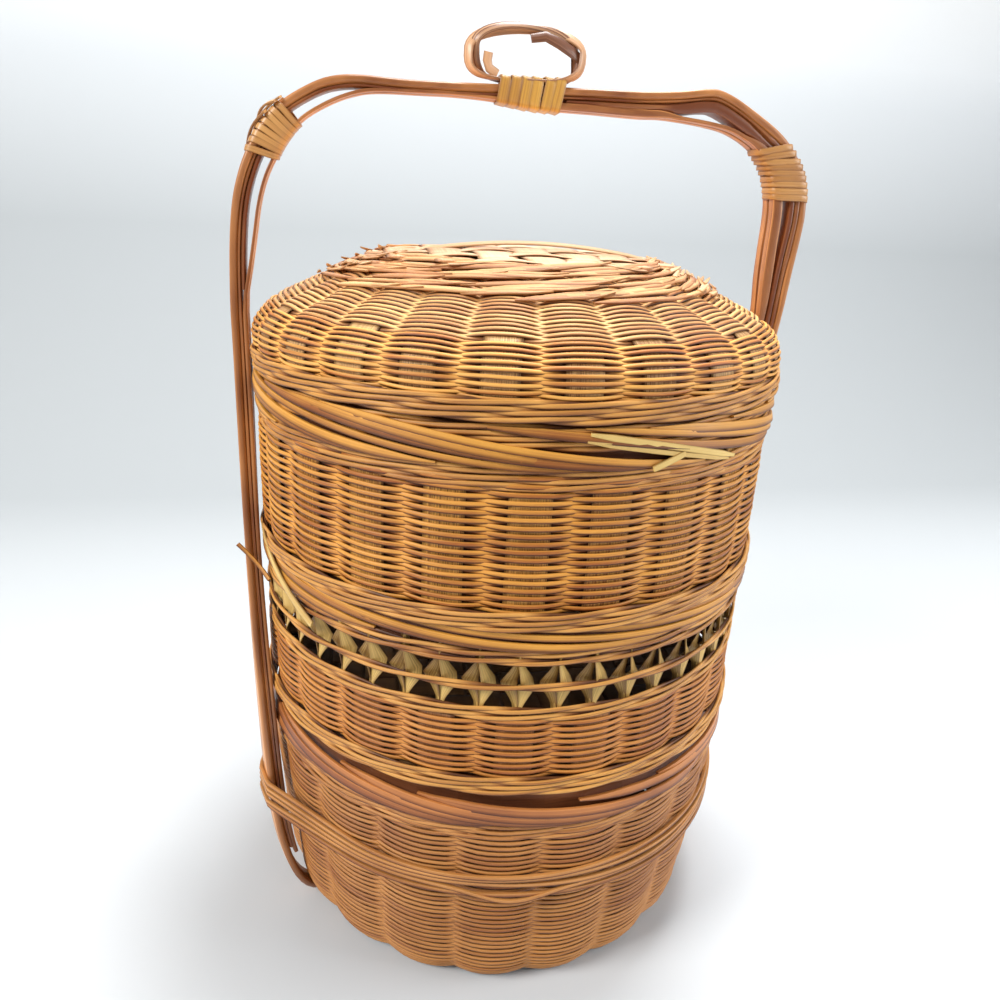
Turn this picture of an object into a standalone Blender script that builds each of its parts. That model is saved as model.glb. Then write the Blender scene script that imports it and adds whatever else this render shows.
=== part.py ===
"""Tiered bamboo food basket: three nesting trays, a domed lid and a bound carrying frame.

Metres, +Z up. The origin is the middle of the base, on the surface that the basket stands on.
The handle arch stands over the X axis; the frame's legs lean round the body as they go down.
"""

import math

import bmesh
import bpy
from mathutils import Vector

# Clearances and drawing steps
GAP = 0.0003                  # air left between pieces that touch
STRIP_GAP = 0.0004            # air between the strips of the frame
LEG_CLEARANCE = 0.0004        # innermost strip to the widest part of the stack
HOOP_SEGMENTS = 40            # facets round a plain hoop
RIM_SEGMENTS = 36             # facets round a rim splint
BAND_SEGMENTS = 14            # facets of the waist band between one leg and the next
ARCH_STEPS = 400              # fine steps used to measure a curve before it is divided evenly

# Tray bodies
STAKE_RADIUS = 0.1168         # outer face of the upright stakes
BULGE_DEPTH = 0.0015          # how far the weave swells out between two stakes
WALL_THICKNESS = 0.0020       # weave at a stake
BARE_WALL_THICKNESS = 0.0014  # stakes alone, behind the rim splints and in the openwork
SHADOW_GAP = 0.0050           # open space from a tray's rim to the skirt above it
BOTTOM_WALL_HEIGHT = 0.1130
MIDDLE_WALL_HEIGHT = 0.0695
TOP_WALL_HEIGHT = 0.0744
BOTTOM_COLUMNS = 20
UPPER_COLUMNS = 24
POINTS_PER_COLUMN = 4         # points across a bulge; a plain row has half as many

# Height shares of the bottom wall, each with its radius and bulge as shares of the full ones
BOTTOM_WALL_SHARES = ((0.0, 0.886, 0.6), (0.11, 0.940, 1.0), (0.22, 0.955, 1.0),
                      (0.53, 0.976, 1.0), (0.80, 1.0, 1.0))
# Height shares of an upper tray's wall where the bulges have swelled up and where they fade
UPPER_BULGE_SHARES = (0.10, 0.74)

# Nesting collars and rim splints
COLLAR_STAND = 0.0090         # how far a collar stands above its rim
COLLAR_HOLD = 0.0100          # how far it reaches down inside its tray
COLLAR_THICKNESS = 0.0022
RIM_HEIGHT = 0.0128           # band of splints round the rims of the bottom and top trays
MIDDLE_RIM_HEIGHT = 0.0034
RIM_THICKNESS = 0.0019
RIM_SPLINTS = 2
RIM_SPLINT_TURN_SHARE = 0.97  # length of one splint as a share of a full turn

# Twined rows
SKIRT_HEIGHT = 0.0072         # two thick rows at the lower edge of a tray
SKIRT_THICKNESS = 0.0026
ROW_GROOVE = 0.0008           # groove between two rows of a band
TWINE_THICKNESS = 0.0019
LOWER_TWINE_HEIGHT = 0.0060
MIDDLE_TWINE_HEIGHT = 0.0052
UPPER_TWINE_HEIGHT = 0.0064

# Openwork of the middle tray
OPENWORK_COLUMNS = 48
OPENWORK_HEIGHT = 0.0325      # from the last close row to the rim
OPENING_HEIGHT = 0.0184       # both rows of holes
OPENWORK_SILL = 0.0036        # solid band under the holes
SPLINT_WIDE_SHARE = 0.84      # splint at the middle row, as a share of the pitch
SPLINT_NECK_SHARE = 0.26      # splint where it goes under the rows above and below

# Floors
FLOOR_THICKNESS = 0.0024
BASE_EDGE_CLEARANCE = 0.0005  # bottom floor to the wall round it
BASE_FLOOR_TAPER = 0.0060     # slanted edge of the bottom floor

# Lid
LID_HEIGHT = 0.0468           # lower edge to the top of the woven dome
LID_COLUMNS = 26
LID_SWELL = 0.0003            # the lid is this much wider at its stakes than the trays
LID_WALL_THICKNESS = 0.0022
CROWN_RADIUS = 0.0620
CROWN_SEAT = 0.0040           # how far the crown splints lie on the dome
CROWN_SPLINTS = 7
CROWN_SPLINT_SHARE = 0.86     # width of a crown splint as a share of its pitch
CROWN_SPLINT_THICKNESS = 0.0011
# Height shares of the dome above the skirt, each with its share of the way in to the crown
DOME_SHARES = ((0.27, 0.01), (0.45, 0.066), (0.607, 0.24), (0.75, 0.47), (0.885, 0.72), (0.985, 0.92))
UPRIGHT_ROW_COUNT = 2         # the first of these belong to the upright wall, the rest to the dome
LID_LEDGE_HEIGHT = 0.0052     # hoop inside the lid that rests on the top collar
LID_LEDGE_WIDTH = 0.0048

# Frame
STRIP_WIDTH = 0.0110
OUTER_STRIP_THICKNESS = 0.0034
THIN_STRIP_THICKNESS = 0.0012
FOOT_STATIONS = 14            # sections of a strip along its foot, its leg and half its arch
LEG_STATIONS = 7
ARCH_STATIONS = 20
LEG_END_HEIGHT = 0.0300       # lower ends of the two thin strips
FOOT_REACH = 0.0309           # how far the under-strap runs in before it lies flat
FOOT_HEIGHT = 0.1000          # height at which the leg has come upright
FOOT_POWER = 3.0
LEG_LEAN = math.radians(22.5)
ARCH_SPRING = 0.0282          # the arch starts this far above the lid's lower edge
ARCH_RISE = 0.0885
ARCH_WIDENING = 0.0006        # the arch is this much wider than the legs
OUTER_ARCH_POWER = 4.6
MIDDLE_ARCH_POWER = 4.3
INNER_ARCH_POWER = 3.4
MIDDLE_ARCH_DROP = 0.0008     # extra opening between strips at the top of the arch
INNER_ARCH_DROP = 0.0030
TOP_OFFSET = 0.0060           # the handle leans to the right
RIGHT_LEAN_SHARES = (-0.90, 0.35)   # where that lean starts and ends, as shares of the arch rise
LEFT_LEAN_SHARES = (0.17, 0.84)
NOTCH_RISE = 0.0056           # room over the under-strap in the foot of the bottom wall
NOTCH_SPREAD_SHARE = 0.999    # notch beyond each edge of the strap, as a share of a wall facet

# Waist band
WAIST_HEIGHT_SHARE = 0.60     # middle of the band up the bottom wall
WAIST_CORD_HEIGHT = 0.0064
WAIST_CORD_THICKNESS = 0.0024
WAIST_CORD_SPACING = 0.0010
WAIST_CORNER_ROOM = 0.0012    # the band bends this far beyond the edge of a leg

# Bindings of flat cane
CANE_THICKNESS = 0.0010
CANE_FIT = 0.00035            # air under a binding
CANE_CORNER = 0.0011          # bend of the cane round a strip's edge
SHOULDER_TURNS = 8
CENTRE_TURNS = 6
CANE_WIDTH_SHARE = 0.83       # cane width as a share of the winding's pitch
LEFT_BINDING_SHARES = (0.28, 0.46)    # stretch of the left half of the arch, from leg to crown
RIGHT_BINDING_SHARES = (0.28, 0.49)
CENTRE_BINDING_LENGTH = 0.0300
CENTRE_BINDING_OFFSET = 0.0065   # from the middle of the leaning handle back to the left
SMALLEST_SELF_GAP = 0.0004

# Hanging ring
RING_HALF_WIDTH = 0.0270
RING_HEIGHT = 0.0238
RING_CANE_WIDTH = 0.0028
RING_CANE_THICKNESS = 0.0013
RING_PITCH = 0.0034
RING_TURNS = 2
RING_STEPS = 24
RING_LOWER_POWER = 3.4
RING_UPPER_POWER = 2.2

# Heights that follow from the sizes above
MIDDLE_BASE = BOTTOM_WALL_HEIGHT + SHADOW_GAP
MIDDLE_RIM = MIDDLE_BASE + MIDDLE_WALL_HEIGHT
TOP_BASE = MIDDLE_RIM + SHADOW_GAP
TOP_RIM = TOP_BASE + TOP_WALL_HEIGHT
LID_BASE = TOP_RIM + SHADOW_GAP
LEDGE_FOOT = TOP_RIM + COLLAR_STAND + GAP
CROWN_BASE = LID_BASE + LID_HEIGHT + GAP
SPRING_HEIGHT = LID_BASE + ARCH_SPRING
HANDLE_TOP = SPRING_HEIGHT + ARCH_RISE

# Radii that follow
WALL_BORE = STAKE_RADIUS - WALL_THICKNESS
BARE_RADIUS = WALL_BORE + BARE_WALL_THICKNESS
COLLAR_RADIUS = WALL_BORE - GAP
LID_STAKE_RADIUS = STAKE_RADIUS + LID_SWELL


def flats(radius, count):
    """Corner radius of a polygon whose flats lie on the radius."""
    return radius / math.cos(math.pi / count)


def ease(value):
    """Smooth step from 0 to 1."""
    value = min(1.0, max(0.0, value))
    return value * value * (3.0 - 2.0 * value)


SKIRT_BORE = flats(STAKE_RADIUS + GAP, HOOP_SEGMENTS)
SKIRT_RADIUS = SKIRT_BORE + SKIRT_THICKNESS
FRAME_INNER_RADIUS = SKIRT_RADIUS + LEG_CLEARANCE
MIDDLE_STRIP_DEPTH = OUTER_STRIP_THICKNESS + STRIP_GAP
INNER_STRIP_DEPTH = MIDDLE_STRIP_DEPTH + THIN_STRIP_THICKNESS + STRIP_GAP
BUNDLE_DEPTH = INNER_STRIP_DEPTH + THIN_STRIP_THICKNESS
LEG_RADIUS = FRAME_INNER_RADIUS + BUNDLE_DEPTH


# Materials

def wood(name, colour, roughness):
    material = bpy.data.materials.new(name)
    material.use_nodes = True
    shader = material.node_tree.nodes["Principled BSDF"]
    shader.inputs["Base Color"].default_value = (*colour, 1.0)
    shader.inputs["Roughness"].default_value = roughness
    shader.inputs["Metallic"].default_value = 0.0
    material.diffuse_color = (*colour, 1.0)
    return material


def make_materials():
    return {
        "weave": wood("woven_cane", (0.60, 0.34, 0.14), 0.50),
        "pale": wood("pale_splint", (0.78, 0.60, 0.34), 0.55),
        "rim": wood("rim_splint", (0.50, 0.26, 0.10), 0.42),
        "frame": wood("frame_bamboo", (0.36, 0.16, 0.07), 0.38),
        "cane": wood("binding_cane", (0.70, 0.42, 0.13), 0.40),
    }


# Mesh helpers

def ring_points(count, radius_at, height_at):
    """Points of one level ring; radius and height are functions of the angle."""
    points = []
    for index in range(count):
        angle = 2.0 * math.pi * index / count
        radius = radius_at(angle)
        points.append(Vector((radius * math.cos(angle), radius * math.sin(angle), height_at(angle))))
    return points


def level(value):
    """A function of the angle that is the same all round."""
    return lambda angle: value


def bridge(bm, first, second):
    """Faces between two closed rings that have equal counts, or twice as many points in one."""
    if len(first) < len(second):
        first, second = second, first
    count = len(second)
    if len(first) == count:
        for index in range(count):
            after = (index + 1) % count
            bm.faces.new((first[index], first[after], second[after], second[index]))
        return
    for index in range(count):
        after = (index + 1) % count
        left = first[2 * index]
        middle = first[2 * index + 1]
        right = first[(2 * index + 2) % len(first)]
        bm.faces.new((left, middle, second[index]))
        bm.faces.new((middle, second[after], second[index]))
        bm.faces.new((middle, right, second[after]))


def add_rings(bm, rings, closed=True):
    """Skin over a row of rings; a closed row goes back to its first ring."""
    levels = [[bm.verts.new(point) for point in ring] for ring in rings]
    for first, second in zip(levels, levels[1:]):
        bridge(bm, first, second)
    if closed:
        bridge(bm, levels[-1], levels[0])
    else:
        bm.faces.new(levels[0])
        bm.faces.new(levels[-1])


def add_sweep(bm, sections, closed):
    """Tube through a list of sections, each a list of points in the same order."""
    loops = [[bm.verts.new(point) for point in section] for section in sections]
    pairs = list(zip(loops, loops[1:]))
    if closed:
        pairs.append((loops[-1], loops[0]))
    else:
        bm.faces.new(loops[0])
        bm.faces.new(loops[-1])
    for first, second in pairs:
        bridge(bm, first, second)


def finish(name, bm, material, sharp_angle=math.radians(35.0)):
    """Turn a bmesh into a named object with its faces pointing out."""
    bmesh.ops.recalc_face_normals(bm, faces=bm.faces)
    mesh = bpy.data.meshes.new(name)
    bm.to_mesh(mesh)
    bm.free()
    mesh.shade_smooth()
    mesh.set_sharp_from_angle(angle=sharp_angle)
    mesh.materials.append(material)
    node = bpy.data.objects.new(name, mesh)
    bpy.context.collection.objects.link(node)
    return node


def turned_hoop(name, section, material, segments=HOOP_SEGMENTS):
    """Hoop from a section of (radius, height) points in order round it."""
    bm = bmesh.new()
    rings = [ring_points(segments, level(radius), level(height)) for radius, height in section]
    add_rings(bm, rings)
    return finish(name, bm, material)


# Woven walls

def woven_wall(name, columns, outer_rows, inner_rows, material, foot_height=None):
    """Shell whose outer face swells between its stakes.

    Outer rows are (radius at a stake, height, bulge, points in a column). Inner rows are
    (radius, height) and plain. foot_height is the lowest edge's height as a function of angle;
    where it rises, the edge keeps to the slope between the two lowest rows.
    """
    def foot_radius(first, second, angle):
        share = (foot_height(angle) - first[1]) / (second[1] - first[1])
        return first[0] + (second[0] - first[0]) * share

    def swell(bulge, angle):
        return bulge * abs(math.sin(angle * columns / 2.0))

    def outer_ring(row):
        radius, height, bulge, points = outer_rows[row]
        notched = foot_height and row == 0

        def radius_at(angle):
            plain = foot_radius(outer_rows[0], outer_rows[1], angle) if notched else radius
            return plain + swell(bulge, angle)
        return ring_points(columns * points, radius_at, foot_height if notched else level(height))

    def inner_ring(row):
        radius, height = inner_rows[row]
        notched = foot_height and row == 0
        count = 2 * columns

        def radius_at(angle):
            plain = foot_radius(inner_rows[0], inner_rows[1], angle) if notched else radius
            return flats(plain, count)
        return ring_points(count, radius_at, foot_height if notched else level(height))

    rings = [outer_ring(row) for row in range(len(outer_rows))]
    rings += [inner_ring(row) for row in reversed(range(len(inner_rows)))]
    bm = bmesh.new()
    add_rings(bm, rings)
    return finish(name, bm, material)


def notched_foot(segment_angle):
    """Height of the bottom wall's lower edge: zero, but raised over the under-strap."""
    foot_radius = STAKE_RADIUS * BOTTOM_WALL_SHARES[0][1]
    half_angle = STRIP_WIDTH / 2.0 / foot_radius + segment_angle * NOTCH_SPREAD_SHARE

    def height_at(angle):
        away = abs((angle - LEG_LEAN + math.pi / 2.0) % math.pi - math.pi / 2.0)
        return OUTER_STRIP_THICKNESS + NOTCH_RISE if away < half_angle else 0.0
    return height_at


def build_bottom_wall(materials):
    rim_foot = BOTTOM_WALL_HEIGHT - RIM_HEIGHT
    outer_rows = []
    inner_rows = []
    for height_share, radius_share, bulge_share in BOTTOM_WALL_SHARES:
        radius = STAKE_RADIUS * radius_share
        height = BOTTOM_WALL_HEIGHT * height_share
        outer_rows.append((radius, height, BULGE_DEPTH * bulge_share, POINTS_PER_COLUMN))
        inner_rows.append((radius - WALL_THICKNESS, height))
    outer_rows.append((BARE_RADIUS, rim_foot - GAP, 0.0, POINTS_PER_COLUMN // 2))
    outer_rows.append((BARE_RADIUS, BOTTOM_WALL_HEIGHT, 0.0, POINTS_PER_COLUMN // 2))
    inner_rows = [inner_rows[0], inner_rows[1], inner_rows[3], inner_rows[4],
                  (WALL_BORE, BOTTOM_WALL_HEIGHT)]
    foot = notched_foot(2.0 * math.pi / (2 * BOTTOM_COLUMNS))
    return woven_wall("bottom_wall", BOTTOM_COLUMNS, outer_rows, inner_rows,
                      materials["weave"], foot)


def upper_wall_rows(base, bulge_top, plain_top, top):
    """Rows of a middle or top wall: a plain skirt, bulges, and a plain edge under the rim."""
    skirt_top = base + SKIRT_HEIGHT + GAP
    span = plain_top - base
    bulge_foot = skirt_top + span * UPPER_BULGE_SHARES[0]
    plain = POINTS_PER_COLUMN // 2
    return [(STAKE_RADIUS, base, 0.0, plain), (STAKE_RADIUS, skirt_top, 0.0, plain),
            (STAKE_RADIUS, bulge_foot, BULGE_DEPTH, POINTS_PER_COLUMN),
            (STAKE_RADIUS, bulge_top, BULGE_DEPTH, POINTS_PER_COLUMN),
            (BARE_RADIUS, plain_top, 0.0, plain), (BARE_RADIUS, top, 0.0, plain)]


def build_middle_wall(materials):
    top = MIDDLE_RIM - OPENWORK_HEIGHT - GAP
    twine_foot = top - (LOWER_TWINE_HEIGHT - OPENWORK_SILL)
    bulge_top = MIDDLE_BASE + (top - MIDDLE_BASE) * UPPER_BULGE_SHARES[1]
    rows = upper_wall_rows(MIDDLE_BASE, bulge_top, twine_foot - GAP, top)
    return woven_wall("middle_wall", UPPER_COLUMNS, rows,
                      [(WALL_BORE, MIDDLE_BASE), (WALL_BORE, top)], materials["weave"])


def build_top_wall(materials):
    rim_foot = TOP_RIM - RIM_HEIGHT
    bulge_top = TOP_BASE + TOP_WALL_HEIGHT * UPPER_BULGE_SHARES[1]
    rows = upper_wall_rows(TOP_BASE, bulge_top, rim_foot - GAP, TOP_RIM)
    return woven_wall("top_wall", UPPER_COLUMNS, rows,
                      [(WALL_BORE, TOP_BASE), (WALL_BORE, TOP_RIM)], materials["weave"])


def build_openwork(materials):
    """Ring of splints spread into diamonds, which leaves two rows of holes between them."""
    sill = MIDDLE_RIM - OPENWORK_HEIGHT
    opening_foot = sill + OPENWORK_SILL
    opening_middle = opening_foot + OPENING_HEIGHT / 2.0
    opening_top = opening_foot + OPENING_HEIGHT
    pitch = 2.0 * math.pi / OPENWORK_COLUMNS
    neck = pitch * SPLINT_NECK_SHARE / 2.0
    wide = pitch * SPLINT_WIDE_SHARE / 2.0
    levels = ((sill, neck), (opening_foot, neck), (opening_middle, wide),
              (opening_top, neck), (MIDDLE_RIM, neck))
    bore = flats(WALL_BORE, OPENWORK_COLUMNS)
    bm = bmesh.new()
    corners = {}
    for face, radius in enumerate((bore, bore + BARE_WALL_THICKNESS)):
        for row, (height, half) in enumerate(levels):
            for column in range(OPENWORK_COLUMNS):
                for side in (0, 1):
                    angle = column * pitch + (2 * side - 1) * half
                    point = (radius * math.cos(angle), radius * math.sin(angle), height)
                    corners[face, row, column, side] = bm.verts.new(point)
    last = len(levels) - 1
    for column in range(OPENWORK_COLUMNS):
        after = (column + 1) % OPENWORK_COLUMNS
        for face in (0, 1):
            for row in range(last):
                bm.faces.new([corners[face, r, column, s]
                              for r, s in ((row, 0), (row, 1), (row + 1, 1), (row + 1, 0))])
            for row in (0, last - 1):
                bm.faces.new((corners[face, row, column, 1], corners[face, row, after, 0],
                              corners[face, row + 1, after, 0], corners[face, row + 1, column, 1]))
        for row in (1, 2):
            for side in (0, 1):
                bm.faces.new([corners[f, r, column, side]
                              for f, r in ((0, row), (1, row), (1, row + 1), (0, row + 1))])
        for row in (1, last - 1):
            bm.faces.new((corners[0, row, column, 1], corners[0, row, after, 0],
                          corners[1, row, after, 0], corners[1, row, column, 1]))
        for row in (0, last):
            bm.faces.new([corners[f, row, column, s] for f, s in ((0, 0), (0, 1), (1, 1), (1, 0))])
            bm.faces.new((corners[0, row, column, 1], corners[0, row, after, 0],
                          corners[1, row, after, 0], corners[1, row, column, 1]))
    return finish("middle_openwork", bm, materials["pale"])


# Hoops, bands and floors

def build_collar(name, rim, materials):
    top = rim + COLLAR_STAND
    foot = rim - COLLAR_HOLD
    bore = COLLAR_RADIUS - COLLAR_THICKNESS
    section = ((bore, foot), (COLLAR_RADIUS, foot), (COLLAR_RADIUS, top), (bore, top))
    return turned_hoop(name, section, materials["rim"])


def twined_band(name, bore, foot, height, thickness, material):
    """Band of two twined rows with the groove between them."""
    radius = bore + thickness
    middle = foot + height / 2.0
    section = ((bore, foot), (radius, foot + ROW_GROOVE), (radius - ROW_GROOVE, middle),
               (radius, foot + height - ROW_GROOVE), (bore, foot + height))
    return turned_hoop(name, section, material)


def build_rim_splint(name, rim, height, index, materials):
    """Flat splint laid once round the rim, climbing from its lower edge to its upper one.

    The splints of a rim start at even distances round it and lie one above the other.
    """
    bore = flats(BARE_RADIUS + GAP, RIM_SEGMENTS)
    radius = bore + RIM_THICKNESS
    splint = (height - RIM_SPLINTS * GAP) / (RIM_SPLINTS + 1)
    bm = bmesh.new()
    sections = []
    for step in range(RIM_SEGMENTS + 1):
        along = step / RIM_SEGMENTS
        angle = 2.0 * math.pi * (index / RIM_SPLINTS + RIM_SPLINT_TURN_SHARE * along)
        foot = rim - height + (height - splint) * along
        direction = Vector((math.cos(angle), math.sin(angle), 0.0))
        corners = ((bore, foot), (radius, foot), (radius, foot + splint), (bore, foot + splint))
        sections.append([direction * r + Vector((0.0, 0.0, z)) for r, z in corners])
    add_sweep(bm, sections, closed=False)
    return finish(name, bm, materials["rim"])


def build_rim(name, rim, height, materials):
    for index in range(RIM_SPLINTS):
        build_rim_splint(f"{name}_splint_{index + 1}", rim, height, index, materials)


def build_floor(name, rest, materials):
    """Tray floor that rests on the collar below it."""
    bm = bmesh.new()
    rings = [ring_points(HOOP_SEGMENTS, level(COLLAR_RADIUS), level(height))
             for height in (rest, rest + FLOOR_THICKNESS)]
    add_rings(bm, rings, closed=False)
    return finish(name, bm, materials["weave"])


def build_base_floor(materials):
    """Floor of the bottom tray, on the under-strap, with an edge that follows the wall."""
    rest = OUTER_STRIP_THICKNESS + STRIP_GAP
    top = rest + FLOOR_THICKNESS
    low, high = BOTTOM_WALL_SHARES[0], BOTTOM_WALL_SHARES[1]
    share = top / (BOTTOM_WALL_HEIGHT * high[0])
    wall = STAKE_RADIUS * (low[1] + (high[1] - low[1]) * share) - WALL_THICKNESS
    radius = wall - BASE_EDGE_CLEARANCE
    bm = bmesh.new()
    rings = [ring_points(HOOP_SEGMENTS, level(r), level(z))
             for r, z in ((radius - BASE_FLOOR_TAPER, rest), (radius, top))]
    add_rings(bm, rings, closed=False)
    return finish("bottom_floor", bm, materials["weave"])


# Lid

def lid_profile():
    """(radius, height) of the lid's stakes at each dome share."""
    reach = LID_STAKE_RADIUS - CROWN_RADIUS
    return [(LID_STAKE_RADIUS - reach * inward_share, LID_BASE + LID_HEIGHT * height_share)
            for height_share, inward_share in DOME_SHARES]


def build_lid_wall(materials):
    """Upright part of the lid's weave, up to the turn of the dome."""
    skirt_top = LID_BASE + SKIRT_HEIGHT + GAP
    plain = POINTS_PER_COLUMN // 2
    outer_rows = [(STAKE_RADIUS, LID_BASE, 0.0, plain), (STAKE_RADIUS, skirt_top, 0.0, plain)]
    upright = lid_profile()[:UPRIGHT_ROW_COUNT]
    outer_rows += [(radius, height, BULGE_DEPTH, POINTS_PER_COLUMN) for radius, height in upright]
    radius, height = upright[-1]
    inner_rows = [(WALL_BORE, LID_BASE), (WALL_BORE, LEDGE_FOOT + LID_LEDGE_HEIGHT + GAP),
                  (radius - 2.0 * LID_WALL_THICKNESS, height)]
    return woven_wall("lid_wall", LID_COLUMNS, outer_rows, inner_rows, materials["weave"])


def build_lid_dome(materials):
    """Woven dome, open at the crown, where the crown splints close it."""
    plain = POINTS_PER_COLUMN // 2
    radius, height = lid_profile()[UPRIGHT_ROW_COUNT - 1]
    outer_rows = [(radius, height + GAP, BULGE_DEPTH, POINTS_PER_COLUMN)]
    inner_rows = [(radius - 2.0 * LID_WALL_THICKNESS, height + GAP)]
    for radius, height in lid_profile()[UPRIGHT_ROW_COUNT:]:
        outer_rows.append((radius, height, BULGE_DEPTH, plain))
        inner_rows.append((radius - 2.0 * LID_WALL_THICKNESS, height - LID_WALL_THICKNESS))
    top = LID_BASE + LID_HEIGHT
    outer_rows.append((CROWN_RADIUS, top, 0.0, plain))
    inner_rows.append((CROWN_RADIUS - LID_WALL_THICKNESS, top - LID_WALL_THICKNESS))
    return woven_wall("lid_dome", LID_COLUMNS, outer_rows, inner_rows, materials["weave"])


def build_crown_layer(name, foot, across, materials):
    """One layer of wide splints over the crown; across turns the layer a quarter round."""
    radius = CROWN_RADIUS + CROWN_SEAT
    pitch = 2.0 * CROWN_RADIUS / CROWN_SPLINTS
    half = pitch * CROWN_SPLINT_SHARE / 2.0
    for index in range(CROWN_SPLINTS):
        centre = pitch * (index - (CROWN_SPLINTS - 1) / 2.0)
        reach = math.sqrt(radius ** 2 - (abs(centre) + half) ** 2)
        corners = ((-reach, centre - half), (reach, centre - half),
                   (reach, centre + half), (-reach, centre + half))
        if across:
            corners = [(-y, x) for x, y in corners]
        lower = [Vector((x, y, foot)) for x, y in corners]
        upper = [Vector((x, y, foot + CROWN_SPLINT_THICKNESS)) for x, y in corners]
        bm = bmesh.new()
        add_sweep(bm, [lower, upper], closed=False)
        finish(f"{name}_{index + 1}", bm, materials["pale"])


def build_lid_ledge(materials):
    """Hoop inside the lid that rests on the collar of the top tray."""
    top = LEDGE_FOOT + LID_LEDGE_HEIGHT
    bore = COLLAR_RADIUS - LID_LEDGE_WIDTH
    section = ((bore, LEDGE_FOOT), (COLLAR_RADIUS, LEDGE_FOOT), (COLLAR_RADIUS, top), (bore, top))
    return turned_hoop("lid_ledge", section, materials["rim"])


# Frame

def super_ellipse(half_width, rise, power, share):
    """Point of a quarter super-ellipse, from its side at share 0 to its top at share 1."""
    angle = math.pi / 2.0 * share
    return (half_width * max(math.cos(angle), 0.0) ** (2.0 / power),
            rise * math.sin(angle) ** (2.0 / power))


def divide(points, count):
    """Points at even distances along a fine polyline."""
    lengths = [0.0]
    for first, second in zip(points, points[1:]):
        lengths.append(lengths[-1] + (second - first).length)
    result = []
    index = 0
    for step in range(count + 1):
        target = lengths[-1] * step / count
        while index < len(points) - 2 and lengths[index + 1] < target:
            index += 1
        span = lengths[index + 1] - lengths[index]
        share = (target - lengths[index]) / span if span > 0.0 else 0.0
        result.append(points[index].lerp(points[index + 1], min(1.0, share)))
    return result


def foot_profile(depth):
    """(radius, height) points from the under-strap's flat up to the upright leg."""
    points = []
    for step in range(ARCH_STEPS + 1):
        inward, rise = super_ellipse(FOOT_REACH, FOOT_HEIGHT, FOOT_POWER, 1.0 - step / ARCH_STEPS)
        radius = LEG_RADIUS - FOOT_REACH + inward - depth
        points.append(Vector((radius, FOOT_HEIGHT - rise)))
    return points


def leg_profile(depth):
    """(radius, height) points of the upright leg, between its foot and its arch."""
    low = Vector((LEG_RADIUS - depth, FOOT_HEIGHT))
    high = Vector((LEG_RADIUS - depth, SPRING_HEIGHT))
    return [low.lerp(high, step / LEG_STATIONS) for step in range(1, LEG_STATIONS)]


def arch_profile(depth, drop, power):
    """(radius, height) points of a strip's outer face from its leg to the top of the arch."""
    points = []
    widening = ARCH_WIDENING if depth == 0.0 else 0.0
    for step in range(ARCH_STEPS + 1):
        share = step / ARCH_STEPS
        radius, rise = super_ellipse(LEG_RADIUS - depth, ARCH_RISE - depth - drop, power, share)
        radius += widening * math.sin(math.pi * share)
        points.append(Vector((radius, SPRING_HEIGHT + rise)))
    return points


def lean_at(height):
    """Angle by which the legs stand round the body from the handle's plane."""
    return LEG_LEAN * (1.0 - ease(height / SPRING_HEIGHT))


def offset_at(height, side):
    """Sideways lean of the handle, which starts lower on the right."""
    start, end = RIGHT_LEAN_SHARES if side > 0 else LEFT_LEAN_SHARES
    share = ((height - SPRING_HEIGHT) / ARCH_RISE - start) / (end - start)
    return TOP_OFFSET * ease(share)


def place(radius, height, side):
    """Point of the frame in space, on the right for side 1 and on the left for side -1."""
    angle = lean_at(height)
    return Vector((side * radius * math.cos(angle) + offset_at(height, side),
                   side * radius * math.sin(angle), height))


def strip_path(depth, drop, power, start_height):
    """Outer face of a strip from the lower end of its right leg over to that of its left."""
    foot = [point for point in foot_profile(depth) if point.y >= start_height]
    half = divide(foot, FOOT_STATIONS) + leg_profile(depth)
    half += divide(arch_profile(depth, drop, power), ARCH_STATIONS)
    right = [place(point.x, point.y, 1) for point in half]
    left = [place(point.x, point.y, -1) for point in half]
    return right + left[-2::-1]


def strip_sections(path, thickness, closed):
    """Flat sections along a path on the strip's outer face."""
    count = len(path)
    sections = []
    for index, point in enumerate(path):
        before = path[(index - 1) % count] if closed or index > 0 else point
        after = path[(index + 1) % count] if closed or index < count - 1 else point
        tangent = (after - before).normalized()
        angle = lean_at(point.z)
        across = Vector((-math.sin(angle), math.cos(angle), 0.0))
        across = (across - tangent * across.dot(tangent)).normalized()
        outward = across.cross(tangent)
        half = across * (STRIP_WIDTH / 2.0)
        inner = point - outward * thickness
        sections.append([point - half, point + half, inner + half, inner - half])
    return sections


def build_outer_strip(materials):
    """Thick strip: under the base, up both legs and over the handle in one closed band."""
    path = strip_path(0.0, 0.0, OUTER_ARCH_POWER, 0.0)
    bm = bmesh.new()
    add_sweep(bm, strip_sections(path, OUTER_STRIP_THICKNESS, True), closed=True)
    return finish("frame_outer_strip", bm, materials["frame"])


def build_thin_strip(name, depth, drop, power, materials):
    path = strip_path(depth, drop, power, LEG_END_HEIGHT)
    bm = bmesh.new()
    add_sweep(bm, strip_sections(path, THIN_STRIP_THICKNESS, False), closed=False)
    return finish(name, bm, materials["frame"])


# Waist band

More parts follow.
